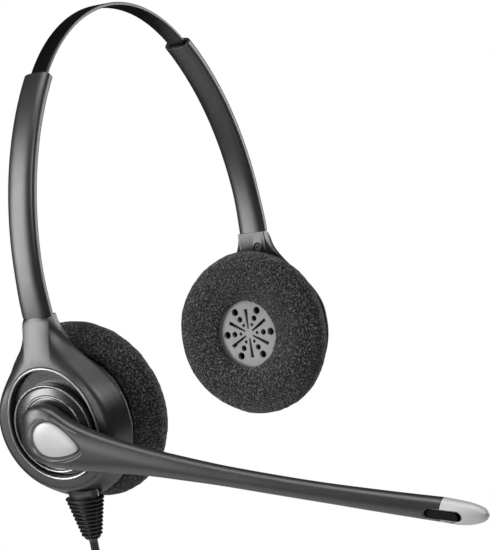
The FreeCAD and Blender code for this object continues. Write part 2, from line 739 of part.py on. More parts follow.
def slot_outline(length, width, middle):
    """A straight slot with round ends, along the boom."""
    half = length / 2 - width / 2
    low = middle[1] - width / 2
    high = middle[1] + width / 2
    left = middle[0] - half
    right = middle[0] + half
    return [Part.LineSegment(Vector(left, low, 0), Vector(right, low, 0)),
            Part.Arc(Vector(right, low, 0), Vector(right + width / 2, middle[1], 0),
                     Vector(right, high, 0)),
            Part.LineSegment(Vector(right, high, 0), Vector(left, high, 0)),
            Part.Arc(Vector(left, high, 0), Vector(left - width / 2, middle[1], 0),
                     Vector(left, low, 0))]


# each section: distance along, half-width, half-thickness
BOOM_SECTIONS = [(2, 7.6, 3.0), (10, 7.2, 3.2), (20, 5.5, 3.1), (30, 4.35, 2.95), (42, 3.5, 2.8),
                 (60, 2.85, 2.5), (82, 2.75, 2.45), (100, 3.0, 2.65), (BOOM_END, 3.35, 2.95)]
BADGE_RADIUS = 5.0
BADGE_TIP = 9.6
BADGE_TURN = -6.0
BADGE_X = 3.2
HUB_RADIUS = 8.7
HUB_TOP = 23.3
BADGE_SEAT = HUB_TOP - 0.6


def badge_outline(grow):
    """A pointed oval: a round end and two straight flanks to a rounded tip."""
    radius = BADGE_RADIUS + grow
    tip = BADGE_TIP + grow
    nose = 1.0
    touch = math.acos((radius - nose) / (tip - nose))
    turn = math.radians(BADGE_TURN)

    def place_point(x, y):
        return Vector(BADGE_X + x * math.cos(turn) - y * math.sin(turn),
                      x * math.sin(turn) + y * math.cos(turn), 0)

    high = place_point(radius * math.cos(touch), radius * math.sin(touch))
    low = place_point(radius * math.cos(touch), -radius * math.sin(touch))
    nose_high = place_point(tip - nose + nose * math.cos(touch), nose * math.sin(touch))
    nose_low = place_point(tip - nose + nose * math.cos(touch), -nose * math.sin(touch))
    return [Part.Arc(high, place_point(-radius, 0), low), Part.LineSegment(low, nose_low),
            Part.Arc(nose_low, place_point(tip, 0), nose_high), Part.LineSegment(nose_high, high)]


boom = new_body("boom_arm", BOOM_PLACE)
add_loft(boom, [ellipse_section(boom, along, wide, thick, AXIS_DROP)
                for along, wide, thick in BOOM_SECTIONS], False)
hub = new_sketch(boom, "XZ_Plane")
polygon(hub, [(0, TOP + 0.05), (HUB_RADIUS - 0.4, TOP + 0.05), (HUB_RADIUS, TOP + 0.9),
              (HUB_RADIUS - 0.1, TOP + 3.4), (HUB_RADIUS - 0.9, TOP + 5.0),
              (HUB_RADIUS - 2.4, HUB_TOP - 0.6), (HUB_RADIUS - 4.4, HUB_TOP), (0, HUB_TOP)])
add_revolution(boom, hub, "360 deg")
seat = new_sketch(boom, "XY_Plane", f"{BADGE_SEAT} mm")
outline(seat, badge_outline(0.3))
add_pocket(boom, seat, None)

badge = new_body("boom_badge", BOOM_PLACE)
face = new_sketch(badge, "XY_Plane", f"{BADGE_SEAT} mm")
outline(face, badge_outline(0))
add_pad(badge, face, "dims.badge_thickness * 1 mm")

# the tip cap, with the microphone inside it and its port in the outer face
tip = new_body("boom_tip_cap", BOOM_PLACE)
TIP_SECTIONS = [(0, 3.35, 2.95), (5, 3.35, 2.95), (9.5, 3.0, 2.6), (12.4, 2.0, 1.7),
                (TIP_LENGTH, 0.8, 0.7)]
add_loft(tip, [ellipse_section(tip, BOOM_END + along, wide, thick, AXIS_DROP)
               for along, wide, thick in TIP_SECTIONS], False)
MIC_RADIUS = 2.0
MIC_LENGTH = 3.0
mic_bore = new_sketch(tip, "YZ_Plane", f"{BOOM_END} mm")
circle(mic_bore, MIC_RADIUS, f"{MIC_RADIUS} mm", (AXIS_DROP, boom_height(BOOM_END + 2)))
add_pocket(tip, mic_bore, f"{MIC_LENGTH} mm")

mic = new_body("mic_capsule", BOOM_PLACE)
mic_face = new_sketch(mic, "YZ_Plane", f"{BOOM_END} mm")
circle(mic_face, MIC_RADIUS, f"{MIC_RADIUS} mm", (AXIS_DROP, boom_height(BOOM_END + 2)))
add_pad(mic, mic_face, f"{MIC_LENGTH} mm")

PORT_LENGTH = 11.0
PORT_WIDTH = 2.9
PORT_MIDDLE = (BOOM_END - 0.4, AXIS_DROP - 0.7)
PORT_BASE = boom_height(BOOM_END) + 1.9
for host in (boom, tip):
    opening = new_sketch(host, "XY_Plane", f"{PORT_BASE} mm")
    outline(opening, slot_outline(PORT_LENGTH, PORT_WIDTH, PORT_MIDDLE))
    add_pocket(host, opening, "5 mm")
port = new_body("mic_port", BOOM_PLACE)
port_face = new_sketch(port, "XY_Plane", f"{PORT_BASE} mm")
outline(port_face, slot_outline(PORT_LENGTH, PORT_WIDTH, PORT_MIDDLE))
add_pad(port, port_face, "0.5 mm")

# ---------------------------------------------------------------- junction board in the right cup
BOARD_SIZE = {"Length": 9.0, "Width": 5.0, "Height": 0.8}
BOARD_CORNER = Vector(-4.5, -14.5, 10.7)
board = doc.addObject("Part::Box", "junction_board")
for axis, size in BOARD_SIZE.items():
    board.setExpression(axis, f"{size} mm")
register(board, "junction_board",
         TURRET_PLACE.multiply(FreeCAD.Placement(BOARD_CORNER, FreeCAD.Rotation())))

# ---------------------------------------------------------------- strain relief
RELIEF_PLACE = TURRET_PLACE.multiply(
    placement((dim("relief_shift"), -FULL - COLLAR_DROP, RELIEF_HEIGHT),
              (1, 0, 0), (0, 0, 1), (0, -1, 0))).multiply(
    FreeCAD.Placement(Vector(), FreeCAD.Rotation(Vector(0, 1, 0), -dim("relief_tilt"))))


def relief_section(body, along, half_wide, half_thick):
    sketch = new_sketch(body, "XY_Plane", f"{along} mm")
    sketch.addGeometry(Part.Ellipse(Vector(), half_wide, half_thick), False)
    return sketch


RELIEF_LENGTH = dim("relief_length")
RELIEF_COLLAR = 1.6
# the tilted relief's top starts this far below the collar, so that its edge stays clear
RELIEF_GAP = 0.6
FIN_COUNT = 7
FIN_THICKNESS = 0.8
relief = new_body("strain_relief", RELIEF_PLACE)
add_loft(relief, [relief_section(relief, RELIEF_GAP, 5.2, 3.0),
                  relief_section(relief, RELIEF_COLLAR, 4.6, 3.0),
                  relief_section(relief, RELIEF_LENGTH, 2.4, 2.0)], True)
for index in range(FIN_COUNT):
    along = RELIEF_COLLAR + (index + 0.35) * dim("relief_pitch")
    share = along / RELIEF_LENGTH
    fin = relief_section(relief, along, 6.2 - 2.2 * share, 3.9 - 1.0 * share)
    add_pad(relief, fin, f"{FIN_THICKNESS} mm")
stub = new_sketch(relief, "XY_Plane", f"{RELIEF_GAP} mm")
circle(stub, 1.0, "dims.cord_diameter * 0.75 mm")
add_pad(relief, stub, "1.6 mm", upward=False)

# ---------------------------------------------------------------- cord
CORD_RADIUS = dim("cord_diameter") / 2
EXIT = RELIEF_PLACE.multVec(Vector(0, 0, RELIEF_LENGTH))
EXIT_WAY = RELIEF_PLACE.Rotation.multVec(Vector(0, 0, 1))
# the lead is folded in flat turns side by side along x, which a tie gathers at mid-height
HANK_TURNS = 6
HANK_PITCH = 2.45
HANK_FIRST_X = 58.1
HANK_SIDESTEP = 0.7
HANK_LAST_X = HANK_FIRST_X - HANK_TURNS * HANK_PITCH - 2 * HANK_SIDESTEP
HANK_X = (HANK_FIRST_X + HANK_LAST_X) / 2
HANK_Y = -1.3
HANK_STRAND_Y = HANK_Y + 1.25
HANK_TOP = -163.0
HANK_LENGTH = 48.0
HANK_BOTTOM = HANK_TOP - HANK_LENGTH
HANK_DEPTH = HANK_FIRST_X - HANK_LAST_X + 2.5
# half of the hank's outline: (half-width along y, height above its middle)
HANK_OUTLINE = [(2.6, 3.6), (7.1, 9.4), (9.0, 13.0), (9.0, 17.0), (5.2, 24.0)]
TIE_HEIGHT = 5.0
TIE_WALL = 0.8
PLUG_TOP = HANK_BOTTOM - 13.0


def rounded_path(points):
    """Straight runs joined by tangent arcs, each as large as its two runs allow."""
    edges = []
    start = points[0]
    for before, here, after in zip(points, points[1:], points[2:]):
        run_in = here - before
        run_out = after - here
        turn = run_in.getAngle(run_out)
        short = min(run_in.Length, run_out.Length)
        cut = 0.45 * short
        radius = cut / math.tan(turn / 2)
        print("cord radius", round(radius, 1), "run", round(run_in.Length, 1),
              "turn", round(math.degrees(turn), 1))
        way_in = Vector(run_in).normalize()
        way_out = Vector(run_out).normalize()
        arc_start = here - way_in * cut
        arc_end = here + way_out * cut
        inward = (way_out - way_in).normalize()
        middle = here + inward * (radius / math.cos(turn / 2) - radius)
        edges.append(Part.LineSegment(start, arc_start).toShape())
        edges.append(Part.Arc(arc_start, middle, arc_end).toShape())
        start = arc_end
    edges.append(Part.LineSegment(start, points[-1]).toShape())
    return Part.Wire(edges)


def cord_tube(label, points):
    """A length of free cord: its round section swept along its route."""
    path = rounded_path(points)
    way = (points[1] - points[0]).normalize()
    section = Part.Wire([Part.makeCircle(CORD_RADIUS, points[0], way)])
    tube = doc.addObject("Part::Feature", label)
    tube.Shape = path.makePipeShell([section], True, False)
    expected = math.pi * CORD_RADIUS ** 2 * path.Length
    print(label, "length", round(path.Length, 1), "volume", round(tube.Shape.Volume, 1),
          "section times length", round(expected, 1))
    return register(tube, label)


UPPER_ROUTE = [
    EXIT,
    EXIT + EXIT_WAY * 6,
    Vector(HANK_FIRST_X, HANK_STRAND_Y, HANK_TOP + 5.2),
    Vector(HANK_FIRST_X, HANK_STRAND_Y, HANK_TOP),
]
LOWER_ROUTE = [
    Vector(HANK_LAST_X, HANK_STRAND_Y, HANK_BOTTOM),
    Vector(HANK_LAST_X, HANK_STRAND_Y, HANK_BOTTOM - 4.4),
    Vector(HANK_LAST_X + 0.6, HANK_STRAND_Y - 0.6, HANK_BOTTOM - 8.8),
    Vector(HANK_LAST_X + 0.6, HANK_STRAND_Y - 0.6, PLUG_TOP),
]
cord_tube("cord_upper", UPPER_ROUTE)
cord_tube("cord_lower", LOWER_ROUTE)

hank = new_body("cord_hank", FreeCAD.Placement(
    Vector(HANK_X, HANK_Y, (HANK_TOP + HANK_BOTTOM) / 2), FreeCAD.Rotation()))
profile = new_sketch(hank, "YZ_Plane", f"{-HANK_DEPTH / 2} mm")
right_side = [(y, -z) for y, z in reversed(HANK_OUTLINE)] + HANK_OUTLINE
polygon(profile, right_side + [(-y, z) for y, z in reversed(right_side)])
add_pad(hank, profile, f"{HANK_DEPTH} mm")


def rounded_block(label, size, top, bend, hollow=None):
    """An upright block with rounded edges that hangs from its top, perhaps with a way through."""
    body = new_body(label, FreeCAD.Placement(Vector(*top), FreeCAD.Rotation()))
    sketch = new_sketch(body, "XY_Plane")
    rounded_rectangle(sketch, size[0] / 2, size[1] / 2, bend)
    if hollow is not None:
        rectangle(sketch, -hollow[0] / 2, -hollow[1] / 2, hollow[0] / 2, hollow[1] / 2)
    add_pad(body, sketch, f"{size[2]} mm", upward=False)
    return body


WAIST_WIDTH = 2 * HANK_OUTLINE[0][0]
rounded_block("hank_tie", (HANK_DEPTH + 2 * TIE_WALL, WAIST_WIDTH + 2 * TIE_WALL, TIE_HEIGHT),
              (HANK_X, HANK_Y, (HANK_TOP + HANK_BOTTOM + TIE_HEIGHT) / 2), 2 * TIE_WALL,
              (HANK_DEPTH, WAIST_WIDTH))

# ---------------------------------------------------------------- quick-disconnect connector
PLUG_X = LOWER_ROUTE[-1].x
PLUG_Y = LOWER_ROUTE[-1].y
BOOT_LENGTH = 7.0
PLUG_LENGTH = 19.0
PLUG_WIDTH = 13.0
PLUG_DEPTH = 7.6
TONGUE_LENGTH = 8.0
boot = doc.addObject("Part::Cone", "plug_boot")
boot.setExpression("Radius1", "3.2 mm")
boot.setExpression("Radius2", "dims.cord_diameter * 0.75 mm")
boot.setExpression("Height", f"{BOOT_LENGTH} mm")
register(boot, "plug_boot", FreeCAD.Placement(Vector(PLUG_X, PLUG_Y, PLUG_TOP - BOOT_LENGTH),
                                              FreeCAD.Rotation()))
BODY_TOP = PLUG_TOP - BOOT_LENGTH
rounded_block("plug_body", (PLUG_DEPTH, PLUG_WIDTH, PLUG_LENGTH), (PLUG_X, PLUG_Y, BODY_TOP), 2.2)
TONGUE_TOP = BODY_TOP - PLUG_LENGTH
rounded_block("plug_tongue", (3.0, 8.0, TONGUE_LENGTH), (PLUG_X, PLUG_Y, TONGUE_TOP), 0.6)
CONTACT_COUNT = 4
CONTACT_PITCH = 1.8
contacts = new_body("plug_contacts", FreeCAD.Placement(
    Vector(PLUG_X + 1.5, PLUG_Y, TONGUE_TOP - 1), FreeCAD.Rotation()))
for index in range(CONTACT_COUNT):
    middle = (index - (CONTACT_COUNT - 1) / 2) * CONTACT_PITCH
    strip = new_sketch(contacts, "YZ_Plane")
    rectangle(strip, middle - 0.45, -5.5, middle + 0.45, 0)
    add_pad(contacts, strip, "0.25 mm")

# ---------------------------------------------------------------- check and write
doc.recompute()
for item in doc.Objects:
    if "Invalid" in item.State or "Error" in item.State:
        raise RuntimeError(f"{item.Label} did not compute: {item.State}")
os.makedirs("parts", exist_ok=True)
for feature in PARTS:
    shape = feature.Shape
    if shape.isNull() or not shape.isValid() or shape.Volume <= 0:
        raise RuntimeError(f"{feature.Label} is not a valid solid")
    print(feature.Label, len(shape.Solids), "solid,", round(shape.Volume, 1), "mm3")
    shape.exportStep(f"parts/{feature.Label}.step")
print(len(PARTS), "sub-parts written")
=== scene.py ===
import bpy
import bmesh
import math
from mathutils import Matrix, Vector, noise


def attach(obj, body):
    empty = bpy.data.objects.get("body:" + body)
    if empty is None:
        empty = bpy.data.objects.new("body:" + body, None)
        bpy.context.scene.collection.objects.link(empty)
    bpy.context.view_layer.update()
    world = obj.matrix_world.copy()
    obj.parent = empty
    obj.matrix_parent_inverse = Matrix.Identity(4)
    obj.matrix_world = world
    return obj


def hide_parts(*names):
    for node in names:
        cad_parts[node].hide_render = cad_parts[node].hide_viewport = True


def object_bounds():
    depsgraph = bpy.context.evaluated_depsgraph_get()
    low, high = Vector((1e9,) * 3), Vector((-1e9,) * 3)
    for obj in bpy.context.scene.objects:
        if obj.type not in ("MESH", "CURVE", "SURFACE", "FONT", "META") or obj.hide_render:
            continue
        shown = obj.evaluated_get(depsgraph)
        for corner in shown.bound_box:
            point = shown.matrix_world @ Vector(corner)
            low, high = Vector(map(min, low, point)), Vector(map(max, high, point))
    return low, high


# Office headset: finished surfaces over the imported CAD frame.
# Lengths in the tables below are millimetres in a CAD part's own frame, and MM turns them to metres.
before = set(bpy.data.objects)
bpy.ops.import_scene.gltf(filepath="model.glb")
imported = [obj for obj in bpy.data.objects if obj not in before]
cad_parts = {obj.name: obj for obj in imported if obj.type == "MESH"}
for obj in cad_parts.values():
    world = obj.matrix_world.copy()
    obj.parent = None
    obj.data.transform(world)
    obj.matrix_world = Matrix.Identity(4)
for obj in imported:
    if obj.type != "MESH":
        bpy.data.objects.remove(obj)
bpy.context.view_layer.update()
MM = 0.001

# ---------------------------------------------------------------- places taken from the CAD
SIDES = {"R": 1, "L": -1}
LEAN = math.radians(4.5)
CUP_X = 48.659
CUP_Z = -111.477
ARM_CENTRE_X = -23.937
ARM_CENTRE_Z = -74.166
ARM_RADIUS = 85.0
ARM_START = math.radians(46.5)
ARM_END = math.radians(94.5)
BAND_CENTRE_Z = -51.45
BAND_RADIUS = 52.0
TAIL_SWEEP = math.radians(26.0)
BOOM_DROOP = math.radians(14.2)


def cup_frame(side):
    """The frame of a cup: x forward on the right cup and backward on the left, z outward."""
    return Matrix(((0, side * math.sin(LEAN), side * math.cos(LEAN), side * CUP_X),
                   (side, 0, 0, 0),
                   (0, math.cos(LEAN), -math.sin(LEAN), CUP_Z),
                   (0, 0, 0, 1)))


BOOM_FRAME = cup_frame(1) @ Matrix.Rotation(-BOOM_DROOP, 4, "Z")

# ---------------------------------------------------------------- camera
CAMERA_AZIMUTH = math.radians(122.2)
CAMERA_RISE = math.radians(7.46)
CAMERA_ROLL = math.radians(11.06)
CAMERA_DISTANCE = 0.700
CAMERA_LENS = 153.34
AIM_RIGHT = 0.04322
AIM_UP = -0.08035
AIM_LIFT = 0.00055

aim_level = Vector((math.cos(CAMERA_AZIMUTH), math.sin(CAMERA_AZIMUTH), 0))
aim_back = Vector((math.sin(CAMERA_AZIMUTH) * math.cos(CAMERA_RISE),
                   -math.cos(CAMERA_AZIMUTH) * math.cos(CAMERA_RISE), math.sin(CAMERA_RISE)))
aim_top = aim_back.cross(aim_level)
camera_right = math.cos(CAMERA_ROLL) * aim_level - math.sin(CAMERA_ROLL) * aim_top
camera_up = math.sin(CAMERA_ROLL) * aim_level + math.cos(CAMERA_ROLL) * aim_top
camera_data = bpy.data.cameras.new("camera")
camera_data.lens = CAMERA_LENS
camera_data.sensor_width = 36.0
camera = bpy.data.objects.new("camera", camera_data)
bpy.context.scene.collection.objects.link(camera)
camera_at = (aim_back * CAMERA_DISTANCE + camera_right * AIM_RIGHT + camera_up * AIM_UP
             + Vector((0, 0, AIM_LIFT)))
turned = Matrix((camera_right, camera_up, aim_back)).transposed().to_4x4()
camera.matrix_world = Matrix.Translation(camera_at) @ turned
camera_data.clip_start = 0.01
camera_data.clip_end = 20.0
bpy.context.scene.camera = camera


# ---------------------------------------------------------------- materials
def new_material(name):
    """An empty material with its node tree and shader."""
    material = bpy.data.materials.new(name)
    material.use_nodes = True
    tree = material.node_tree
    shader = tree.nodes["Principled BSDF"]
    return material, tree, shader


def grey(value):
    return (value, value, value, 1.0)


def noise_node(tree, scale, detail=3.0, rough=0.55):
    """Noise over the object's own coordinates, which are metres."""
    place = tree.nodes.new("ShaderNodeTexCoord")
    texture = tree.nodes.new("ShaderNodeTexNoise")
    texture.inputs["Scale"].default_value = scale
    texture.inputs["Detail"].default_value = detail
    texture.inputs["Roughness"].default_value = rough
    tree.links.new(place.outputs["Object"], texture.inputs["Vector"])
    return texture.outputs["Fac"]


def ramp_node(tree, source, stops):
    """A grey ramp through (position, grey) stops."""
    ramp = tree.nodes.new("ShaderNodeValToRGB")
    points = ramp.color_ramp.elements
    points[0].position, points[0].color = stops[0][0], grey(stops[0][1])
    points[1].position, points[1].color = stops[-1][0], grey(stops[-1][1])
    for position, value in stops[1:-1]:
        points.new(position).color = grey(value)
    tree.links.new(source, ramp.inputs["Fac"])
    return ramp.outputs["Color"]


def range_node(tree, source, low, high):
    """The middle half of a noise value, spread over low to high."""
    spread = tree.nodes.new("ShaderNodeMapRange")
    spread.inputs["From Min"].default_value = 0.25
    spread.inputs["From Max"].default_value = 0.75
    spread.inputs["To Min"].default_value = low
    spread.inputs["To Max"].default_value = high
    tree.links.new(source, spread.inputs["Value"])
    return spread.outputs["Result"]


def bump_node(tree, shader, source, depth):
    """Bump of a depth in metres."""
    bump = tree.nodes.new("ShaderNodeBump")
    bump.inputs["Strength"].default_value = 1.0
    bump.inputs["Distance"].default_value = depth
    tree.links.new(source, bump.inputs["Height"])
    tree.links.new(bump.outputs["Normal"], shader.inputs["Normal"])


def moulded(name, tone, rough, grain=2200.0, depth=0.000012, coat=0.0, metallic=0.0, level=0.5,
            spread=0.12):
    """Moulded or painted plastic: a tone that varies a little, fine grain and uneven gloss."""
    material, tree, shader = new_material(name)
    cloud = noise_node(tree, 90.0, 4.0)
    tree.links.new(ramp_node(tree, cloud, [(0.3, tone * (1 - spread)), (0.7, tone * (1 + spread))]),
                   shader.inputs["Base Color"])
    tree.links.new(range_node(tree, noise_node(tree, 260.0, 5.0), rough * 0.94, rough * 1.07),
                   shader.inputs["Roughness"])
    bump_node(tree, shader, noise_node(tree, grain, 2.0), depth)
    shader.inputs["Metallic"].default_value = metallic
    shader.inputs["Coat Weight"].default_value = coat
    shader.inputs["Coat Roughness"].default_value = 0.12
    shader.inputs["Specular IOR Level"].default_value = level
    return material


def brushed(name, tone, rough, depth=0.00001):
    """Metal or metallic paint with fine turning marks."""
    material, tree, shader = new_material(name)
    marks = noise_node(tree, 900.0, 6.0, 0.7)
    tree.links.new(ramp_node(tree, marks, [(0.25, tone * 0.86), (0.75, tone * 1.08)]),
                   shader.inputs["Base Color"])
    tree.links.new(range_node(tree, marks, rough * 0.8, rough * 1.25), shader.inputs["Roughness"])
    bump_node(tree, shader, marks, depth)
    shader.inputs["Metallic"].default_value = 1.0
    return material


def foam_material(name):
    """Open-cell foam: dark cells with pale strands between them."""
    material, tree, shader = new_material(name)
    place = tree.nodes.new("ShaderNodeTexCoord")
    cells = tree.nodes.new("ShaderNodeTexVoronoi")
    cells.feature = "F1"
    cells.inputs["Scale"].default_value = 1500.0
    tree.links.new(place.outputs["Object"], cells.inputs["Vector"])
    speckle = noise_node(tree, 1750.0, 4.0, 0.7)
    tree.links.new(ramp_node(tree, speckle, [(0.38, 0.002), (0.5, 0.012), (0.6, 0.085),
                                             (0.74, 0.24)]),
                   shader.inputs["Base Color"])
    mix = tree.nodes.new("ShaderNodeMath")
    mix.operation = "MULTIPLY_ADD"
    mix.inputs[1].default_value = -0.6
    tree.links.new(cells.outputs["Distance"], mix.inputs[0])
    tree.links.new(speckle, mix.inputs[2])
    bump_node(tree, shader, mix.outputs["Value"], 0.0005)
    shader.inputs["Roughness"].default_value = 0.95
    shader.inputs["Specular IOR Level"].default_value = 0.15
    shader.inputs["Sheen Weight"].default_value = 0.15
    shader.inputs["Sheen Roughness"].default_value = 0.5
    return material


ARM_PLASTIC = moulded("charcoal_satin", 0.012, 0.38, level=0.8)
BOOM_PLASTIC = moulded("boom_matte", 0.016, 0.38, depth=0.00002, level=0.8)
BAND_PLASTIC = moulded("band_gloss", 0.002, 0.30, grain=900.0, depth=0.000006, level=0.35)
DARK_PLASTIC = moulded("black_moulding", 0.010, 0.40)
GRILLE_PLASTIC = moulded("grille_grey", 0.18, 0.48, depth=0.00003)
RUBBER = moulded("black_rubber", 0.020, 0.32, grain=2400.0, depth=0.00002, level=0.9)
CORD_JACKET = moulded("cord_jacket", 0.012, 0.34, grain=1200.0, depth=0.00002)
FOAM = foam_material("open_cell_foam")
SILVER = moulded("silver_paint", 0.46, 0.5, grain=3200.0, depth=0.00001, metallic=0.3,
                 spread=0.06)
TRIM = moulded("bright_trim", 0.40, 0.34, grain=1600.0, depth=0.000004, metallic=0.85, spread=0.05)
DIAL_GREY = moulded("dial_satin", 0.020, 0.27, coat=0.1, level=0.9)
STEEL = brushed("steel", 0.45, 0.30)
# Screw heads: dark metal, darkened further to near black so that the screw holes read as shade:
# partly the screws' own colour, partly painted shade.
SCREW_DARK_AND_SHADE = brushed("screw_dark_and_shade", 0.02, 0.36)
# Near-black for hollows: the lining of the screw holes, the gap round the badge, the microphone slot
# and its port: painted shade.
PAINTED_SHADE_BLACK = moulded("painted_cavity_shade", 0.002, 0.6, level=0.15)
# Lighter metallic grey on the edges of the dial's steps, the walls of the badge's sunk steps and the
# microphone slot's rim: painted highlight.
HIGHLIGHT_GREY = moulded("painted_highlight_line", 0.30, 0.26, depth=0.000004, metallic=0.6, spread=0.05)
BRASS = brushed("contact_metal", 0.62, 0.28)
FILM = moulded("diaphragm_film", 0.04, 0.35, coat=0.3)
BOARD = moulded("board_green", 0.05, 0.5)

# the look of each CAD node by the start of its name
NODE_LOOKS = {
    "band_sleeve": BAND_PLASTIC, "band_spring": STEEL, "band_wire": DARK_PLASTIC,
    "band_stop": DARK_PLASTIC, "arm_shell": ARM_PLASTIC, "arm_cover": ARM_PLASTIC,
    "arm_mouth": DARK_PLASTIC, "housing_shell": ARM_PLASTIC, "neck_screw": SCREW_DARK_AND_SHADE,
    "housing_back": DARK_PLASTIC, "pivot_pin": STEEL, "trim_ring": TRIM, "well_plate": DIAL_GREY,
    "friction_washer": DARK_PLASTIC, "junction_board": BOARD, "strain_relief": RUBBER,
    "cord": CORD_JACKET, "hank_tie": DARK_PLASTIC, "plug_boot": RUBBER, "plug_body": DARK_PLASTIC,
    "plug_tongue": DARK_PLASTIC, "plug_contacts": BRASS, "cap_disc": DIAL_GREY,
    "capsule_shell": DARK_PLASTIC, "capsule_grille": GRILLE_PLASTIC, "driver_frame": DARK_PLASTIC,
    "driver_cone": FILM, "driver_magnet": STEEL, "foam_cushion": FOAM, "boom_turret": DIAL_GREY,
    "turret_clip": STEEL, "boom_arm": BOOM_PLASTIC, "boom_badge": SILVER, "boom_tip_cap": SILVER,
    "mic_capsule": STEEL, "mic_port": PAINTED_SHADE_BLACK,
}
for node_name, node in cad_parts.items():
    stem = max((key for key in NODE_LOOKS if node_name.startswith(key)), key=len)
    node.data.materials.clear()
    node.data.materials.append(NODE_LOOKS[stem])


# ---------------------------------------------------------------- mesh building
def build_piece(name, verts, faces, place, material, body, slot_name, replaced=(), sharp=38.0,
                bevel=0.0):
    """A mesh piece from millimetre points in a CAD frame: placed, painted, riding on its body."""
    mesh = bpy.data.meshes.new(name)
    mesh.from_pydata([place @ Vector(point) * MM for point in verts], [], faces)
    build = bmesh.new()
    build.from_mesh(mesh)
    bmesh.ops.remove_doubles(build, verts=build.verts, dist=1e-7)
    bmesh.ops.recalc_face_normals(build, faces=build.faces)
    build.to_mesh(mesh)
    build.free()
    mesh.materials.append(material)
    piece = bpy.data.objects.new(name, mesh)
    bpy.context.scene.collection.objects.link(piece)
    if bevel:
        edge = piece.modifiers.new("edge", "BEVEL")
        edge.width = bevel * MM
        edge.segments = 3
        edge.limit_method = "ANGLE"
        edge.angle_limit = math.radians(sharp)
        edge.harden_normals = False
    mesh.shade_smooth()
    mesh.set_sharp_from_angle(angle=math.radians(sharp if not bevel else 70.0))
    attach(piece, body)
    if replaced:
        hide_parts(*replaced)
    return piece


def ring_faces(rings, closed=False):
    """Quads between neighbouring rings of equal count, with the two ends closed or joined."""
    count = len(rings[0])
    faces = []
    steps = len(rings) if closed else len(rings) - 1
    for step in range(steps):
        here = step * count
        ahead = (step + 1) % len(rings) * count
        for index in range(count):
            follower = (index + 1) % count
            faces.append((here + index, here + follower, ahead + follower, ahead + index))
    if not closed:
        faces.append(tuple(reversed(range(count))))
        last = (len(rings) - 1) * count
        faces.append(tuple(last + index for index in range(count)))
    return faces


def loft_piece(name, rings, place, material, body, slot_name, closed=False, **options):
    """A piece whose skin runs through rings of equal count."""
    verts = [point for ring in rings for point in ring]
    return build_piece(name, verts, ring_faces(rings, closed), place, material, body, slot_name,
                       **options)


def lathe_piece(name, profile, place, material, body, slot_name, count, **options):
    """A turned piece from (radius, height) points about the frame's z axis."""
    rings = []
    for radius, height in profile:
        rings.append([(radius * math.cos(2 * math.pi * step / count),
                       radius * math.sin(2 * math.pi * step / count), height)
                      for step in range(count)])
    return loft_piece(name, rings, place, material, body, slot_name, closed=True, **options)


def softened(points, radius, closed=True, steps=4):
    """A 2-D chain whose corners are rounded by short curves of about the given radius."""
    result = []
    count = len(points)
    for index, here in enumerate(points):
        if not closed and index in (0, count - 1):
            result.append(here)
            continue
        before = points[index - 1]
        after = points[(index + 1) % count]
        reach_in = min(radius, 0.45 * math.dist(here, before))
        reach_out = min(radius, 0.45 * math.dist(here, after))
        start = [h + (b - h) * reach_in / math.dist(here, before) for h, b in zip(here, before)]
        end = [h + (a - h) * reach_out / math.dist(here, after) for h, a in zip(here, after)]
        for step in range(steps + 1):
            t = step / steps
            result.append(tuple((1 - t) ** 2 * s + 2 * t * (1 - t) * h + t * t * e
                                for s, h, e in zip(start, here, end)))
    return result


def smooth_step(value, low, high):
    """0 below low and 1 above high, with a smooth rise between them."""
    t = min(max((value - low) / (high - low), 0.0), 1.0)
    return t * t * (3 - 2 * t)


def between(table, value):
    """Monotone smooth interpolation in a table of (position, value, value, ...) rows."""
    if value <= table[0][0]:
        return table[0][1:]
    for low, high in zip(table, table[1:]):
        if value <= high[0]:
            break
    else:
        return table[-1][1:]
    index = table.index(low)
    t = (value - low[0]) / (high[0] - low[0])
    before = table[index - 1] if index else low
    after = table[index + 2] if index + 2 < len(table) else high
    result = []
    for column in range(1, len(low)):
        rise = (high[column] - low[column]) / (high[0] - low[0])
        rise_in = ((low[column] - before[column]) / (low[0] - before[0])) if index else rise
        rise_out = ((after[column] - high[column]) / (after[0] - high[0])
                    if index + 2 < len(table) else rise)
        slope_low = 0.0 if rise_in * rise <= 0 else 2 * rise_in * rise / (rise_in + rise)
        slope_high = 0.0 if rise_out * rise <= 0 else 2 * rise_out * rise / (rise_out + rise)
        run = high[0] - low[0]
        result.append((2 * t ** 3 - 3 * t ** 2 + 1) * low[column]
                      + (t ** 3 - 2 * t ** 2 + t) * run * slope_low
                      + (3 * t ** 2 - 2 * t ** 3) * high[column]
                      + (t ** 3 - t ** 2) * run * slope_high)
    return tuple(result)


# degrees above which an edge is drawn sharp after a cut
CUT_SHARP = 32.0


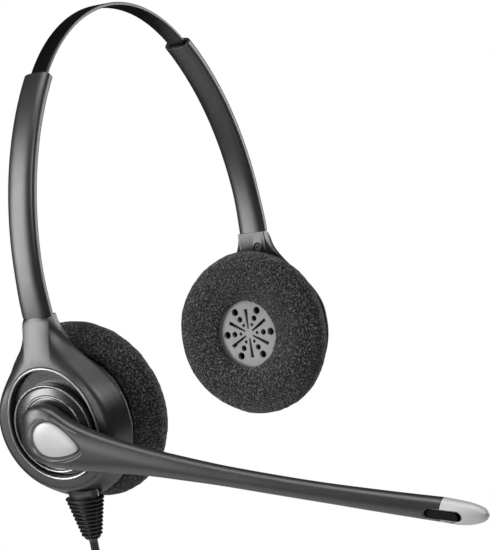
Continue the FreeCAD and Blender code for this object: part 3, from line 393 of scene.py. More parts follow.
def cut_away(piece, cutter_verts, cutter_faces, place, lining=None):
    """Cut a closed shape out of a finished piece, and perhaps line the cut with a material."""
    mesh = bpy.data.meshes.new("cutter")
    mesh.from_pydata([place @ Vector(point) * MM for point in cutter_verts], [], cutter_faces)
    build = bmesh.new()
    build.from_mesh(mesh)
    bmesh.ops.recalc_face_normals(build, faces=build.faces)
    build.to_mesh(mesh)
    build.free()
    if lining is not None:
        mesh.materials.append(lining)
    cutter = bpy.data.objects.new("cutter", mesh)
    bpy.context.scene.collection.objects.link(cutter)
    cut = piece.modifiers.new("cut", "BOOLEAN")
    cut.object = cutter
    cut.operation = "DIFFERENCE"
    cut.solver = "EXACT"
    cut.material_mode = "TRANSFER" if lining is not None else "INDEX"
    bpy.context.view_layer.update()
    depsgraph = bpy.context.evaluated_depsgraph_get()
    result = bpy.data.meshes.new_from_object(piece.evaluated_get(depsgraph))
    piece.modifiers.remove(cut)
    old = piece.data
    piece.data = result
    result.name = old.name
    bpy.data.meshes.remove(old)
    bpy.data.objects.remove(cutter)
    bpy.data.meshes.remove(mesh)
    result.shade_smooth()
    result.set_sharp_from_angle(angle=math.radians(CUT_SHARP))


def prism(points, low, high):
    """Vertices and faces of an upright prism over a 2-D outline."""
    rings = [[(x, y, height) for x, y in points] for height in (low, high)]
    return [point for ring in rings for point in ring], ring_faces(rings)


# ---------------------------------------------------------------- headband and arms
def arc_point(side, radius, angle, across):
    """A point on an arm's arc: radial distance, angle from the vertical, and y across."""
    return (side * (ARM_CENTRE_X + radius * math.sin(angle)), across,
            ARM_CENTRE_Z + radius * math.cos(angle))


TAIL_STEPS = 14


def band_rings(section):
    """The section swept from the left tail's end over the crown to the right tail's end."""
    rings = []
    for step in range(TAIL_STEPS):
        angle = ARM_START + TAIL_SWEEP * (1 - step / TAIL_STEPS)
        rings.append([arc_point(-1, ARM_RADIUS + u, angle, v) for v, u in section])
    steps = 56
    for step in range(steps + 1):
        angle = ARM_START * (2 * step / steps - 1)
        rings.append([((BAND_RADIUS + u) * math.sin(angle), v,
                       BAND_CENTRE_Z + (BAND_RADIUS + u) * math.cos(angle)) for v, u in section])
    for step in range(1, TAIL_STEPS + 1):
        angle = ARM_START + TAIL_SWEEP * step / TAIL_STEPS
        rings.append([arc_point(1, ARM_RADIUS + u, angle, v) for v, u in section])
    return rings


IDENTITY = Matrix.Identity(4)
band_section = softened([(-2.9, -0.55), (2.9, -0.55), (2.9, 0.55), (-2.9, 0.55)], 0.34, steps=4)
loft_piece("headband_strip", band_rings(band_section), IDENTITY, BAND_PLASTIC, "headband",
           "band_plastic", replaced=["band_sleeve", "band_spring", "band_wire"])

ARM_HALF = 4.5
ARM_FLARE = 0.35
ARM_FACE = 2.1
ARM_POWER = 2.9
ARM_SPLIT = -1.25
ARM_PARTING = 0.03
ARM_SLOT = 3.3
ARM_ROOF = 1.15


def arm_arc(half, start, outward, steps=18):
    """The section's curve from its right side at a height, over the face, to its left side."""
    turn_start = math.asin(min(abs(start) / ARM_FACE, 1.0) ** (ARM_POWER / 2))
    turn_start *= 1 if start * outward > 0 else -1
    points = []
    for step in range(steps + 1):
        turn = turn_start + (math.pi - 2 * turn_start) * step / steps
        c, v = math.cos(turn), math.sin(turn)
        across = half * math.copysign(abs(c) ** (2 / ARM_POWER), c)
        radial = outward * ARM_FACE * math.copysign(abs(v) ** (2 / ARM_POWER), v)
        points.append((across, radial))
    return points


def arm_shell_section(half):
    """The outer shell's section, (across, radial): a rounded face with a slot inside."""
    low = ARM_SPLIT + ARM_PARTING
    return arm_arc(half, low, 1, 30) + [(-ARM_SLOT, low), (-ARM_SLOT, ARM_ROOF),
                                        (ARM_SLOT, ARM_ROOF), (ARM_SLOT, low)]


def arm_cover_section(half):
    """The inner cover's section: the rest of the rounded outline, and a flat side to the slot."""
    high = ARM_SPLIT - ARM_PARTING
    return arm_arc(half - 0.03, high, -1) + [(-ARM_SLOT, high), (ARM_SLOT, high)]


def arm_rings(side, section_of):
    rings = []
    steps = 48
    for step in range(steps + 1):
        share = step / steps
        angle = ARM_START + (ARM_END - ARM_START) * share
        half = ARM_HALF + ARM_FLARE * smooth_step(share, 0.8, 1.0)
        rings.append([arc_point(side, ARM_RADIUS + u, angle, v) for v, u in section_of(half)])
    return rings


for name, side in SIDES.items():
    body = {"R": "right_arm", "L": "left_arm"}[name]
    loft_piece("arm_outer_" + name, arm_rings(side, arm_shell_section), IDENTITY, ARM_PLASTIC,
               body, "charcoal_plastic", replaced=["arm_shell_" + name], bevel=0.06)
    loft_piece("arm_inner_" + name, arm_rings(side, arm_cover_section), IDENTITY, ARM_PLASTIC,
               body, "charcoal_plastic", replaced=["arm_cover_" + name], bevel=0.06)


# ---------------------------------------------------------------- cup housings
RIM_RADIUS = 22.5
RIM_HEIGHT = 9.8
FACE_HEIGHT = 15.7
WELL_RADIUS = 14.5
WELL_TOP = 17.3
NECK_TIP = 31.5
NECK_HALF = 4.85
BACK_HEIGHT = 9.2
NECK_BACK = 7.6
OUTLINE_STEPS = {"bottom": 72, "flank": 30, "tip": 16}
# how the skin rises from the rim (0) to the face (1) as it runs inward from the rim (0) to the
# well (1): at the sides of the dome, along the neck's edges, and up the middle of the neck
SIDE_RISE = [(0.0, 0.0), (0.03, 0.07), (0.08, 0.16), (0.18, 0.35), (0.34, 0.64), (0.47, 0.86),
             (0.58, 0.965), (0.68, 1.0), (1.0, 1.0)]
EDGE_RISE = [(0.0, 0.0), (0.03, 0.11), (0.08, 0.22), (0.18, 0.34), (0.34, 0.49), (0.5, 0.64),
             (0.72, 0.84), (0.9, 0.965), (1.0, 1.0)]
CREST_RISE = [(0.0, 0.33), (0.18, 0.48), (0.34, 0.615), (0.5, 0.74), (0.72, 0.89), (0.9, 0.975),
              (1.0, 1.0)]
INWARD = (0.0, 0.012, 0.03, 0.055, 0.085, 0.12, 0.16, 0.205, 0.25, 0.3, 0.35, 0.4, 0.45, 0.5, 0.55,
          0.6, 0.66, 0.72, 0.78, 0.84, 0.9, 0.95, 1.0)
REAR_FULLNESS = 1.0
FRONT_FULLNESS = 1.1
FACE_EDGE = 1.15
# the part of the face's egg, in degrees from its side, that the neck's end runs up to
NECK_REACH = 76.0
# how often each ring's heights are averaged with their neighbours', so that the neck's crest
# runs out softly into its flanks
BLENDINGS = 26


def teardrop_ring(radius, tip, half, fullness, height):
    """A teardrop outline at one height; the fullness is given for its -x and +x flanks."""
    start = math.radians(5)
    foot_x = radius * math.cos(start)
    foot_y = radius * math.sin(start)
    points = []
    count = OUTLINE_STEPS["bottom"]
    for step in range(count):
        angle = math.pi - start + (math.pi + 2 * start) * step / count
        points.append((radius * math.cos(angle), radius * math.sin(angle), height))

    def flank(step, full):
        t = step / OUTLINE_STEPS["flank"]
        share = (1 + math.cos(math.pi * t ** full)) / 2
        return half + (foot_x - half) * share, foot_y + (tip - foot_y) * t

    for step in range(OUTLINE_STEPS["flank"]):
        points.append((*flank(step, fullness[1]), height))
    count = OUTLINE_STEPS["tip"]
    for step in range(count + 1):
        points.append((half * math.cos(math.pi * step / count), tip, height))
    for step in range(OUTLINE_STEPS["flank"] - 1, 0, -1):
        x, y = flank(step, fullness[0])
        points.append((-x, y, height))
    return points


def outline_marks():
    """For each point of the outline: its direction on the face's egg, and two weights that
    grow up the neck's flank and across the neck's end to its middle."""
    marks = []
    foot = math.radians(5)
    reach = math.radians(NECK_REACH)
    count = OUTLINE_STEPS["bottom"]
    for step in range(count):
        marks.append((math.pi - foot + (math.pi + 2 * foot) * step / count, 0.0, 0.0))
    flank = [(foot + (reach - foot) * step / OUTLINE_STEPS["flank"],
              smooth_step(step / OUTLINE_STEPS["flank"], 0.25, 0.95), 0.0)
             for step in range(OUTLINE_STEPS["flank"])]
    marks += flank
    count = OUTLINE_STEPS["tip"]
    for step in range(count + 1):
        across = abs(math.cos(math.pi * step / count))
        angle = reach + (math.pi - 2 * reach) * step / count
        marks.append((angle, 1.0, 1 - across ** 3))
    marks += [(math.pi - angle, edge, crest) for angle, edge, crest in reversed(flank[1:])]
    return marks


def dome_rings(rim):
    """The skin from the rim up and inward to the face, all points moving straight inward."""
    marks = outline_marks()
    rings = []
    for inward in INWARD:
        side = between(SIDE_RISE, inward)[0]
        edge = between(EDGE_RISE, inward)[0]
        crest = between(CREST_RISE, inward)[0]
        rises = []
        for angle, edge_share, crest_share in marks:
            rise = side + (edge - side) * edge_share
            rises.append(rise + (crest - rise) * crest_share)
        blended = rises
        for turn in range(BLENDINGS):
            blended = [(blended[index - 1] + 2 * blended[index]
                        + blended[(index + 1) % len(blended)]) / 4
                       for index in range(len(blended))]
        blend = smooth_step(inward, 0.0, 0.12)
        ring = []
        for (x, y, z), (angle, _, _), sharp, soft in zip(rim, marks, rises, blended):
            grown = WELL_RADIUS + FACE_EDGE
            risen = WELL_TOP + FACE_EDGE if math.sin(angle) > 0 else grown
            reach = 1 / math.hypot(math.cos(angle) / grown, math.sin(angle) / risen)
            rise = sharp + (soft - sharp) * blend
            ring.append((x + (reach * math.cos(angle) - x) * inward,
                         y + (reach * math.sin(angle) - y) * inward,
                         RIM_HEIGHT + (FACE_HEIGHT - RIM_HEIGHT) * rise))
        rings.append(ring)
    return rings


def egg_ring(radius, top, height, like):
    """An egg with its points in the directions of another ring's: round below, oval above."""
    points = []
    for x, y, z in like:
        turn = math.atan2(y, x)
        rise = top if y > 0 else radius
        reach = 1 / math.hypot(math.cos(turn) / radius, math.sin(turn) / rise)
        points.append((reach * math.cos(turn), reach * math.sin(turn), height))
    return points


def circle_ring(radius, height, like):
    """A circle with its points in the directions of another ring's points."""
    return [(radius * x / math.hypot(x, y), radius * y / math.hypot(x, y), height)
            for x, y, z in like]


def housing_rings(side):
    """The housing's closed skin: out over the back, up the dome, and down into the well."""
    rings = []
    fullness = (REAR_FULLNESS, FRONT_FULLNESS) if side > 0 else (FRONT_FULLNESS, REAR_FULLNESS)
    chamber = teardrop_ring(20.4, 22.5, 4.0, (1.2, 1.2), 0)
    rings.append([(x, y, 12.0) for x, y, z in chamber])
    rings.append([(x, y, BACK_HEIGHT + 0.25) for x, y, z in chamber])
    rings.append([(x * 1.01, y * 1.01, BACK_HEIGHT) for x, y, z in chamber])

    def lowered(ring, lift):
        """The back edge, which steps down along the neck to the arm's inner face."""
        return [(x, y, BACK_HEIGHT + lift - (BACK_HEIGHT - NECK_BACK) * smooth_step(y, 22.8, 25.2))
                for x, y, z in ring]

    rim = teardrop_ring(RIM_RADIUS, NECK_TIP, NECK_HALF, fullness, 0)
    near = [tuple(0.5 * (a + b) for a, b in zip(one, two)) for one, two in zip(rim, chamber)]
    rings.append(lowered(near, 0))
    rings.append(lowered([(x * 0.982, y if y > 31 else y * 0.982, z) for x, y, z in rim], 0))
    rings.append(lowered([(x * 0.994, y if y > 31 else y * 0.994, z) for x, y, z in rim], 0.1))
    rings.append(lowered(rim, 0.35))
    rings += dome_rings(rim)
    like = rings[-1]
    for grow, height in ((1.03, 15.62), (0.95, 15.45), (0.0, 15.45), (-0.05, 13.0)):
        rings.append(egg_ring(WELL_RADIUS + grow, WELL_TOP + grow, height, like))
    rings.append(circle_ring(4.1, 13.0, like))
    rings.append(circle_ring(4.1, 12.0, like))
    return rings


SCREW_X = 2.0
SCREW_Y = 26.6
SCREW_HOLE = 1.6
for name, side in SIDES.items():
    body = {"R": "right_arm", "L": "left_arm"}[name]
    housing = loft_piece("cup_housing_" + name, housing_rings(side), cup_frame(side), ARM_PLASTIC,
                         body, "charcoal_plastic", closed=True,
                         replaced=["housing_shell_" + name], sharp=32.0)
    hole = [(SCREW_X * side + SCREW_HOLE * math.cos(math.pi * step / 16),
             SCREW_Y + SCREW_HOLE * math.sin(math.pi * step / 16)) for step in range(32)]
    # the screw hole is lined with near-black: painted shade
    cut_away(housing, *prism(hole, 7.0, 8.9), cup_frame(side), PAINTED_SHADE_BLACK)

# ---------------------------------------------------------------- dial
TURRET_FRAME = cup_frame(1)
for name, side in SIDES.items():
    body = {"R": "right_arm", "L": "left_arm"}[name]
    profile = softened([(0.06, 15.45), (0.84, 15.45), (0.84, 15.95), (0.6, 16.15), (0.22, 16.05)],
                       0.18, steps=3)
    like = [(math.cos(math.pi * step / 80), math.sin(math.pi * step / 80), 0) for step in range(160)]
    rings = [egg_ring(WELL_RADIUS + grow, WELL_TOP + grow, height, like) for grow, height in profile]
    loft_piece("face_ring_" + name, rings, cup_frame(side), TRIM, body, "bright_trim", closed=True,
               replaced=["trim_ring_" + name], sharp=60.0)

DIAL_STEPS = [(3.8, 13.6), (13.08, 14.1), (13.1, 15.9), (12.95, 16.4), (12.55, 16.35),
              (12.3, 15.75), (12.0, 15.6), (11.7, 15.75), (10.2, 16.3), (10.0, 16.15),
              (9.85, 16.5), (9.6, 16.5), (9.45, 16.2), (9.1, 16.44), (3.8, 16.44)]
dial = lathe_piece("boom_dial", softened(DIAL_STEPS, 0.14, steps=3), TURRET_FRAME, DIAL_GREY,
                   "boom", "charcoal_plastic", count=128, replaced=["boom_turret"], sharp=50.0)
# the dial's two painted highlight lines, light grey on the edges of its steps, by their inner and
# outer radius
HIGHLIGHT_BANDS = ((12.42, 13.06), (9.52, 9.9))
HIGHLIGHT_ABOVE = 16.2
dial.data.materials.append(HIGHLIGHT_GREY)
dial_inverse = TURRET_FRAME.inverted()
for face in dial.data.polygons:
    spot = dial_inverse @ (Vector(face.center) / MM)
    distance = math.hypot(spot.x, spot.y)
    if spot.z > HIGHLIGHT_ABOVE and any(low < distance < high for low, high in HIGHLIGHT_BANDS):
        face.material_index = 1

# ---------------------------------------------------------------- boom
BOOM_DROP = -2.6
HUB_RADIUS = 8.7
HUB_BASE = 16.5
HUB_TOP = 23.3
HUB_POWER = 3.4
HUB_CROWN = 2.6
# where along the boom the hub's dome has become the tube
HUB_END = 10.0
BOOM_END = 118.0
# the outline seen from outside: distance along, upper edge, lower edge
BOOM_EDGES = [
    (-8.7, 0.0, -0.35), (-8.45, 2.0, -2.2), (-7.6, 4.2, -4.2), (-6.0, 6.3, -6.2),
    (-3.5, 7.95, -7.75), (-0.5, 8.68, -8.6), (2.5, 8.3, -8.95), (5.0, 7.3, -8.95),
    (7.5, 6.2, -8.85), (10.0, 5.25, -8.65), (14.0, 4.2, -8.25), (20.0, 3.15, -7.6),
    (30.0, 2.05, -6.4), (42.0, 1.2, -5.65), (60.0, 0.45, -5.15), (82.0, 0.2, -5.25),
    (100.0, 0.4, -5.55), (118.0, 0.75, -5.95),
]
# half-thickness along the boom, and how square the section is
BOOM_DEPTH = [(HUB_END, 3.2, 3.0), (20.0, 3.1, 2.5), (30.0, 2.95, 2.2), (42.0, 2.8, 2.1),
              (60.0, 2.5, 2.05), (82.0, 2.45, 2.05), (100.0, 2.65, 2.1), (118.0, 2.95, 2.1)]


BOOM_HEIGHT = 20.3
BOOM_CURVE = 0.0007


def boom_middle(along):
    """The height of the tube's middle, which bends towards the face as it runs out."""
    return BOOM_HEIGHT - BOOM_CURVE * along ** 2


def boom_section(along, count=56):
    """One ring of the boom: a flat-bottomed dome at the hub, and an oval along the tube."""
    upper, lower = between(BOOM_EDGES, along)
    middle_y = (upper + lower) / 2
    half_y = max((upper - lower) / 2, 0.02)
    if along < HUB_END:
        # the dome's crown rises from the hub's round end
        rise = 1.0 if along > 0 else (1 - (-along / HUB_RADIUS) ** HUB_CROWN) ** (1 / HUB_CROWN)
        share = smooth_step(along, 0.0, HUB_END)
        top = HUB_BASE + (HUB_TOP - HUB_BASE) * rise
        top += (boom_middle(HUB_END) + BOOM_DEPTH[0][1] - HUB_TOP) * share
        base = HUB_BASE + (boom_middle(HUB_END) - BOOM_DEPTH[0][1] - HUB_BASE) * share
        half_z = (top - base) / 2
        middle_z = (top + base) / 2
        power = HUB_POWER + (BOOM_DEPTH[0][2] - HUB_POWER) * share
    else:
        half_z, power = between(BOOM_DEPTH, along)
        middle_z = boom_middle(along)
    ring = []
    for step in range(count):
        turn = 2 * math.pi * step / count
        c, s = math.cos(turn), math.sin(turn)
        ring.append((along,
                     middle_y + half_y * math.copysign(abs(c) ** (2 / power), c),
                     middle_z + half_z * math.copysign(abs(s) ** (2 / power), s)))
    return ring


boom_stations = [-HUB_RADIUS * math.cos(math.pi / 2 * step / 14) for step in range(14)]
boom_stations += [0.8 * step for step in range(28)]
boom_stations += [22.4 + (BOOM_END - 22.5) * step / 50 for step in range(51)]
boom = loft_piece("boom_tube", [boom_section(along) for along in boom_stations], BOOM_FRAME,
                  BOOM_PLASTIC, "boom", "charcoal_plastic", replaced=["boom_arm"], sharp=50.0)

BADGE_TURN = math.radians(-6.0)
BADGE_X = 3.2
BADGE_RADIUS = 5.0
BADGE_REACH = 9.6
BADGE_TAPER = 0.42
BADGE_GAP = 0.25


def badge_outline(grow, shift=(0.0, 0.0), count=64):
    """An egg with its point along the boom, grown outward by an amount."""
    radius = BADGE_RADIUS + grow
    tip = BADGE_REACH + grow
    cos_turn, sin_turn = math.cos(BADGE_TURN), math.sin(BADGE_TURN)
    points = []
    for step in range(count):
        angle = 2 * math.pi * step / count
        x = (tip if math.cos(angle) > 0 else radius) * math.cos(angle)
        y = radius * math.sin(angle) * (1 - BADGE_TAPER * max(math.cos(angle), 0.0) ** 1.5)
        points.append((BADGE_X + shift[0] + x * cos_turn - y * sin_turn,
                       shift[1] + x * sin_turn + y * cos_turn))
    return points


# two steps sink round the badge, and their slanting walls carry painted highlight lines
LIP_SHIFT = (-0.6, -0.45)
# the space that holds those walls
LIP_LOW, LIP_HIGH = 22.61, 23.6
LIP_SIDE = 7
LIP_REAR, LIP_FRONT = -6, 14
for floor, reach in ((22.95, 1.75), (22.6, 0.85)):
    sunk = [[(x, y, floor) for x, y in badge_outline(reach, LIP_SHIFT)],
            [(x, y, floor + 2.0) for x, y in badge_outline(reach + 2.0, LIP_SHIFT)]]
    cut_away(boom, [point for ring in sunk for point in ring], ring_faces(sunk), BOOM_FRAME)
# the gap round the badge is lined with near-black: painted shade
cut_away(boom, *prism(badge_outline(BADGE_GAP), 22.1, 25.0), BOOM_FRAME, PAINTED_SHADE_BLACK)
boom_inverse = BOOM_FRAME.inverted()
# slanting faces in that space take the painted highlight grey
boom.data.materials.append(HIGHLIGHT_GREY)
for face in boom.data.polygons:
    spot = boom_inverse @ (Vector(face.center) / MM)
    slant = (boom_inverse.to_3x3() @ Vector(face.normal)).z
    beside = abs(spot.y) < LIP_SIDE and LIP_REAR < spot.x < LIP_FRONT
    if LIP_LOW < spot.z < LIP_HIGH and 0.5 < slant < 0.9 and beside:
        face.material_index = len(boom.data.materials) - 1

badge_rings = [[(x, y, 22.15) for x, y in badge_outline(0.0)]]
for inset, height in ((0.0, 23.25), (-0.06, 23.42), (-0.2, 23.55), (-0.5, 23.66), (-1.2, 23.8),
                      (-2.2, 23.93), (-3.2, 24.0)):
    badge_rings.append([(x, y, height) for x, y in badge_outline(inset)])
loft_piece("boom_badge_plate", badge_rings, BOOM_FRAME, SILVER, "boom", "silver_paint",
           replaced=["boom_badge"], sharp=60.0)


# ---------------------------------------------------------------- boom tip
# the tip's half-height and half-thickness along it
TIP_TABLE = [(0.0, 3.4, 3.0), (4.0, 3.36, 2.95), (7.6, 3.05, 2.65), (10.0, 2.5, 2.2),
             (11.7, 1.85, 1.6), (12.6, 1.15, 1.0), (13.0, 0.35, 0.3)]
TIP_LENGTH = TIP_TABLE[-1][0]
TIP_LIFT = 1.0


def tip_ring(along, count=56):
    """One oval ring of the tip cap."""
    half_y, half_z = between(TIP_TABLE, along)
    middle_y = BOOM_DROP + TIP_LIFT * (along / TIP_LENGTH) ** 2
    return [(BOOM_END + along, middle_y + half_y * math.cos(2 * math.pi * step / count),
             boom_middle(BOOM_END) + half_z * math.sin(2 * math.pi * step / count))
            for step in range(count)]


tip_stations = [0.06, 0.2, 0.5, 1.5, 3, 4.5, 6, 7.2, 8.3, 9.3, 10.1, 10.8, 11.4, 11.8, 12.2, 12.5,
                12.7, 12.87, 13.0]
tip_cap = loft_piece("mic_tip_cap", [tip_ring(along) for along in tip_stations], BOOM_FRAME,
                     SILVER, "boom", "silver_paint", replaced=["boom_tip_cap"], sharp=50.0)


def slot_points(length, width):
    """A slot's outline about its middle, with half-round ends."""
    half = (length - width) / 2
    points = []
    for way in (1, -1):
        for step in range(13):
            angle = -way * math.pi / 2 + math.pi * step / 12
            points.append((way * half + width / 2 * math.cos(angle), width / 2 * math.sin(angle)))
    return points


PORT_MIDDLE = (BOOM_END + 0.9, BOOM_DROP - 0.45)
PORT_TURN = math.radians(4.0)
PORT_LENGTH = 10.6
PORT_WIDTH = 2.7
PORT_RIM = 0.3


def port_outline(grow):
    """The microphone's slot, turned a little across the boom."""
    cos_turn, sin_turn = math.cos(PORT_TURN), math.sin(PORT_TURN)
    return [(PORT_MIDDLE[0] + x * cos_turn - y * sin_turn,
             PORT_MIDDLE[1] + x * sin_turn + y * cos_turn)
            for x, y in slot_points(PORT_LENGTH + 2 * grow, PORT_WIDTH + 2 * grow)]


# the microphone slot: its rim lined with painted highlight grey, its inside with painted shade black
for piece in (boom, tip_cap):
    cut_away(piece, *prism(port_outline(PORT_RIM), 13.15, 18.0), BOOM_FRAME, HIGHLIGHT_GREY)
    cut_away(piece, *prism(port_outline(0.0), 12.1, 18.0), BOOM_FRAME, PAINTED_SHADE_BLACK)

# ---------------------------------------------------------------- strain relief
RELIEF_SHIFT = 1.8
RELIEF_START = -22.8
RELIEF_HEIGHT = 12.2
RELIEF_TILT = math.radians(-3.5)
RELIEF_LENGTH = 12.5
RELIEF_FRAME = (cup_frame(1)
                @ Matrix(((1, 0, 0, RELIEF_SHIFT), (0, 0, -1, RELIEF_START),
                          (0, 1, 0, RELIEF_HEIGHT), (0, 0, 0, 1)))
                @ Matrix.Rotation(RELIEF_TILT, 4, "Y"))


def oval_ring(half_x, half_y, height, count=48):
    """An oval ring at one height along the sleeve."""
    return [(half_x * math.cos(2 * math.pi * step / count),
             half_y * math.sin(2 * math.pi * step / count), height) for step in range(count)]


relief_rings = [oval_ring(4.9, 2.9, -3.5), oval_ring(4.9, 2.9, -1.1)]
FIN_COUNT = 10
FIN_PITCH = 1.2
FIRST_FIN = -0.7
for index in range(FIN_COUNT):
    along = FIRST_FIN + index * FIN_PITCH
    share = along / RELIEF_LENGTH
    wide, deep = 6.0 - 3.4 * share, 3.8 - 1.5 * share
    core_wide, core_deep = wide - 1.9, deep - 1.4
    lip_wide, lip_deep = wide - 0.25, deep - 0.25
    for part_wide, part_deep, step in ((core_wide, core_deep, 0.0), (lip_wide, lip_deep, 0.04),
                                       (wide, deep, 0.14), (wide, deep, 0.38),
                                       (lip_wide, lip_deep, 0.5), (core_wide, core_deep, 0.54)):
        relief_rings.append(oval_ring(part_wide, part_deep, along + step))
relief_rings += [oval_ring(2.5, 2.1, 11.3), oval_ring(2.1, 1.9, 11.7), oval_ring(1.3, 1.3, 11.9),
                 oval_ring(1.25, 1.25, RELIEF_LENGTH)]
loft_piece("cord_relief", relief_rings, RELIEF_FRAME, RUBBER, "right_arm", "cord_rubber",
           replaced=["strain_relief"], sharp=50.0)

# ---------------------------------------------------------------- cord
EXIT = RELIEF_FRAME @ Vector((0, 0, RELIEF_LENGTH))
EXIT_WAY = RELIEF_FRAME.to_3x3() @ Vector((0, 0, 1))
CORD_RADIUS = 1.2
HANK_TURNS = 6
HANK_PITCH = 2.45
HANK_FIRST_X = 58.1
HANK_SIDESTEP = 0.7
HANK_LAST_X = HANK_FIRST_X - HANK_TURNS * HANK_PITCH - 2 * HANK_SIDESTEP
HANK_Y = -1.3
STRAND = 1.25
HANK_TOP = -163.0
HANK_BOTTOM = -211.0
HANK_MIDDLE = (HANK_TOP + HANK_BOTTOM) / 2
WAIST = 4.0
FOLD_RADIUS = 7.8
FOLD_CENTRE = 15.0
FOLD_POINTS = 6


def fold_points(x_from, x_to, up):
    """Control points of one end loop, from the front strand round to the back one."""
    lean = math.acos(FOLD_RADIUS / math.hypot(STRAND, FOLD_CENTRE - WAIST))
    start = math.atan2(-(FOLD_CENTRE - WAIST), STRAND) + lean
    sweep = math.pi - 2 * start
    step = sweep / FOLD_POINTS
    reach = FOLD_RADIUS / math.cos(step / 2)
    points = []
    for index in range(FOLD_POINTS):
        angle = start + step * (index + 0.5)
        share = (index + 0.5) / FOLD_POINTS
        points.append(Vector((x_from + (x_to - x_from) * share, HANK_Y + reach * math.cos(angle),
                              HANK_MIDDLE + up * (FOLD_CENTRE + reach * math.sin(angle)))))
    return points


cord_route = [EXIT, EXIT + EXIT_WAY * 6,
              Vector((HANK_FIRST_X, HANK_Y + STRAND, HANK_TOP + 5.2)),
              Vector((HANK_FIRST_X, HANK_Y + STRAND, HANK_TOP))]
strand_x = HANK_FIRST_X - HANK_SIDESTEP
for turn in range(HANK_TURNS):
    for height in (WAIST, -WAIST):
        cord_route.append(Vector((strand_x, HANK_Y + STRAND, HANK_MIDDLE + height)))
    cord_route += fold_points(strand_x, strand_x - HANK_PITCH / 2, -1)
    for height in (-WAIST, WAIST):
        cord_route.append(Vector((strand_x - HANK_PITCH / 2, HANK_Y - STRAND,
                                  HANK_MIDDLE + height)))
    cord_route += reversed(fold_points(strand_x - HANK_PITCH, strand_x - HANK_PITCH / 2, 1))
    strand_x -= HANK_PITCH
for height in (WAIST, -WAIST):
    cord_route.append(Vector((strand_x, HANK_Y + STRAND, HANK_MIDDLE + height)))
cord_route += [Vector((HANK_LAST_X, HANK_Y + STRAND, HANK_BOTTOM)),
               Vector((HANK_LAST_X, HANK_Y + STRAND, HANK_BOTTOM - 4.4)),
               Vector((HANK_LAST_X + 0.6, HANK_Y + STRAND - 0.6, HANK_BOTTOM - 8.8)),
               Vector((HANK_LAST_X + 0.6, HANK_Y + STRAND - 0.6, HANK_BOTTOM - 13.0))]

cord_curve = bpy.data.curves.new("lead", "CURVE")
cord_curve.dimensions = "3D"
cord_curve.bevel_depth = CORD_RADIUS * MM
cord_curve.bevel_resolution = 6
cord_curve.resolution_u = 8
cord_curve.use_fill_caps = True
spline = cord_curve.splines.new("NURBS")
spline.points.add(len(cord_route) - 1)
for point, place in zip(spline.points, cord_route):
    point.co = (place.x * MM, place.y * MM, place.z * MM, 1.0)
spline.order_u = 3
spline.use_endpoint_u = True
cord_curve.materials.append(CORD_JACKET)
lead = bpy.data.objects.new("lead", cord_curve)
bpy.context.scene.collection.objects.link(lead)
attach(lead, "right_arm")
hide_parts("cord_upper", "cord_lower", "cord_hank")


# ---------------------------------------------------------------- foam cushions
# half of the section round the cup's axis: (radius, height), front face first
FOAM_PROFILE = [(9.9, -3.2), (10.1, -4.0), (11.0, -4.5), (13.0, -5.1), (16.0, -5.8), (19.5, -6.15),
                (22.0, -5.85), (24.1, -5.1), (25.9, -3.9), (27.0, -2.4), (27.2, -0.9), (26.4, 0.8),
                (25.1, 2.4), (23.9, 3.9), (22.6, 5.2), (21.2, 5.7), (19.9, 5.7), (19.9, 4.7),
                (22.0, 4.4), (23.6, 2.4), (23.6, -2.5), (12.0, -2.6)]


# the cushion is puffed out ten times its size, where cloth pressure works as on a seat pad
FOAM_ENLARGED = 10.0
FOAM_VOXEL = 1.0
FOAM_PRESSURE = 4.0
FOAM_FRAMES = 20
FOAM_CAP = 0.55
FOAM_SHRUNK = 0.3
FOAM_SMOOTHINGS = 6
# the cushions sit a little forward on their receivers: millimetres, and the radii it grows over
FOAM_FORWARD = {"R": 0.5, "L": 1.2}
FOAM_FORWARD_FROM = 24.2
FOAM_FORWARD_TO = 26.0


def foam_blank():
    """The turned blank in an even voxel mesh, in enlarged metres, a little under full size."""
    count = 120
    scale = FOAM_ENLARGED * MM
    verts = []
    for radius, height in FOAM_PROFILE:
        outside = radius > 24.0 or abs(height) > 4.9
        share = 1 - FOAM_SHRUNK / math.hypot(radius, height) if outside else 1.0
        for step in range(count):
            turn = 2 * math.pi * step / count
            verts.append((radius * share * scale * math.cos(turn),
                          radius * share * scale * math.sin(turn), height * share * scale))
    rings = [[0] * count for row in FOAM_PROFILE]
    mesh = bpy.data.meshes.new("foam_blank")
    mesh.from_pydata(verts, [], ring_faces(rings, closed=True))
    build = bmesh.new()
    build.from_mesh(mesh)
    bmesh.ops.recalc_face_normals(build, faces=build.faces)
    build.to_mesh(mesh)
    build.free()
    blank = bpy.data.objects.new("foam_blank", mesh)
    bpy.context.scene.collection.objects.link(blank)
    remesh = blank.modifiers.new("remesh", "REMESH")
    remesh.mode = "VOXEL"
    remesh.voxel_size = FOAM_VOXEL * scale
    bpy.context.view_layer.update()
    graph = bpy.context.evaluated_depsgraph_get()
    even = bpy.data.meshes.new_from_object(blank.evaluated_get(graph))
    bpy.data.objects.remove(blank)
    return even


def grips_capsule(point):
    """Whether a point of the blank lies on the inside that holds the receiver's flange."""
    radius = math.hypot(point.x, point.y) / (FOAM_ENLARGED * MM)
    height = point.z / (FOAM_ENLARGED * MM)
    return radius < 24.1 and -3.2 < height < 5.0 or radius < 20.6 and height > 0


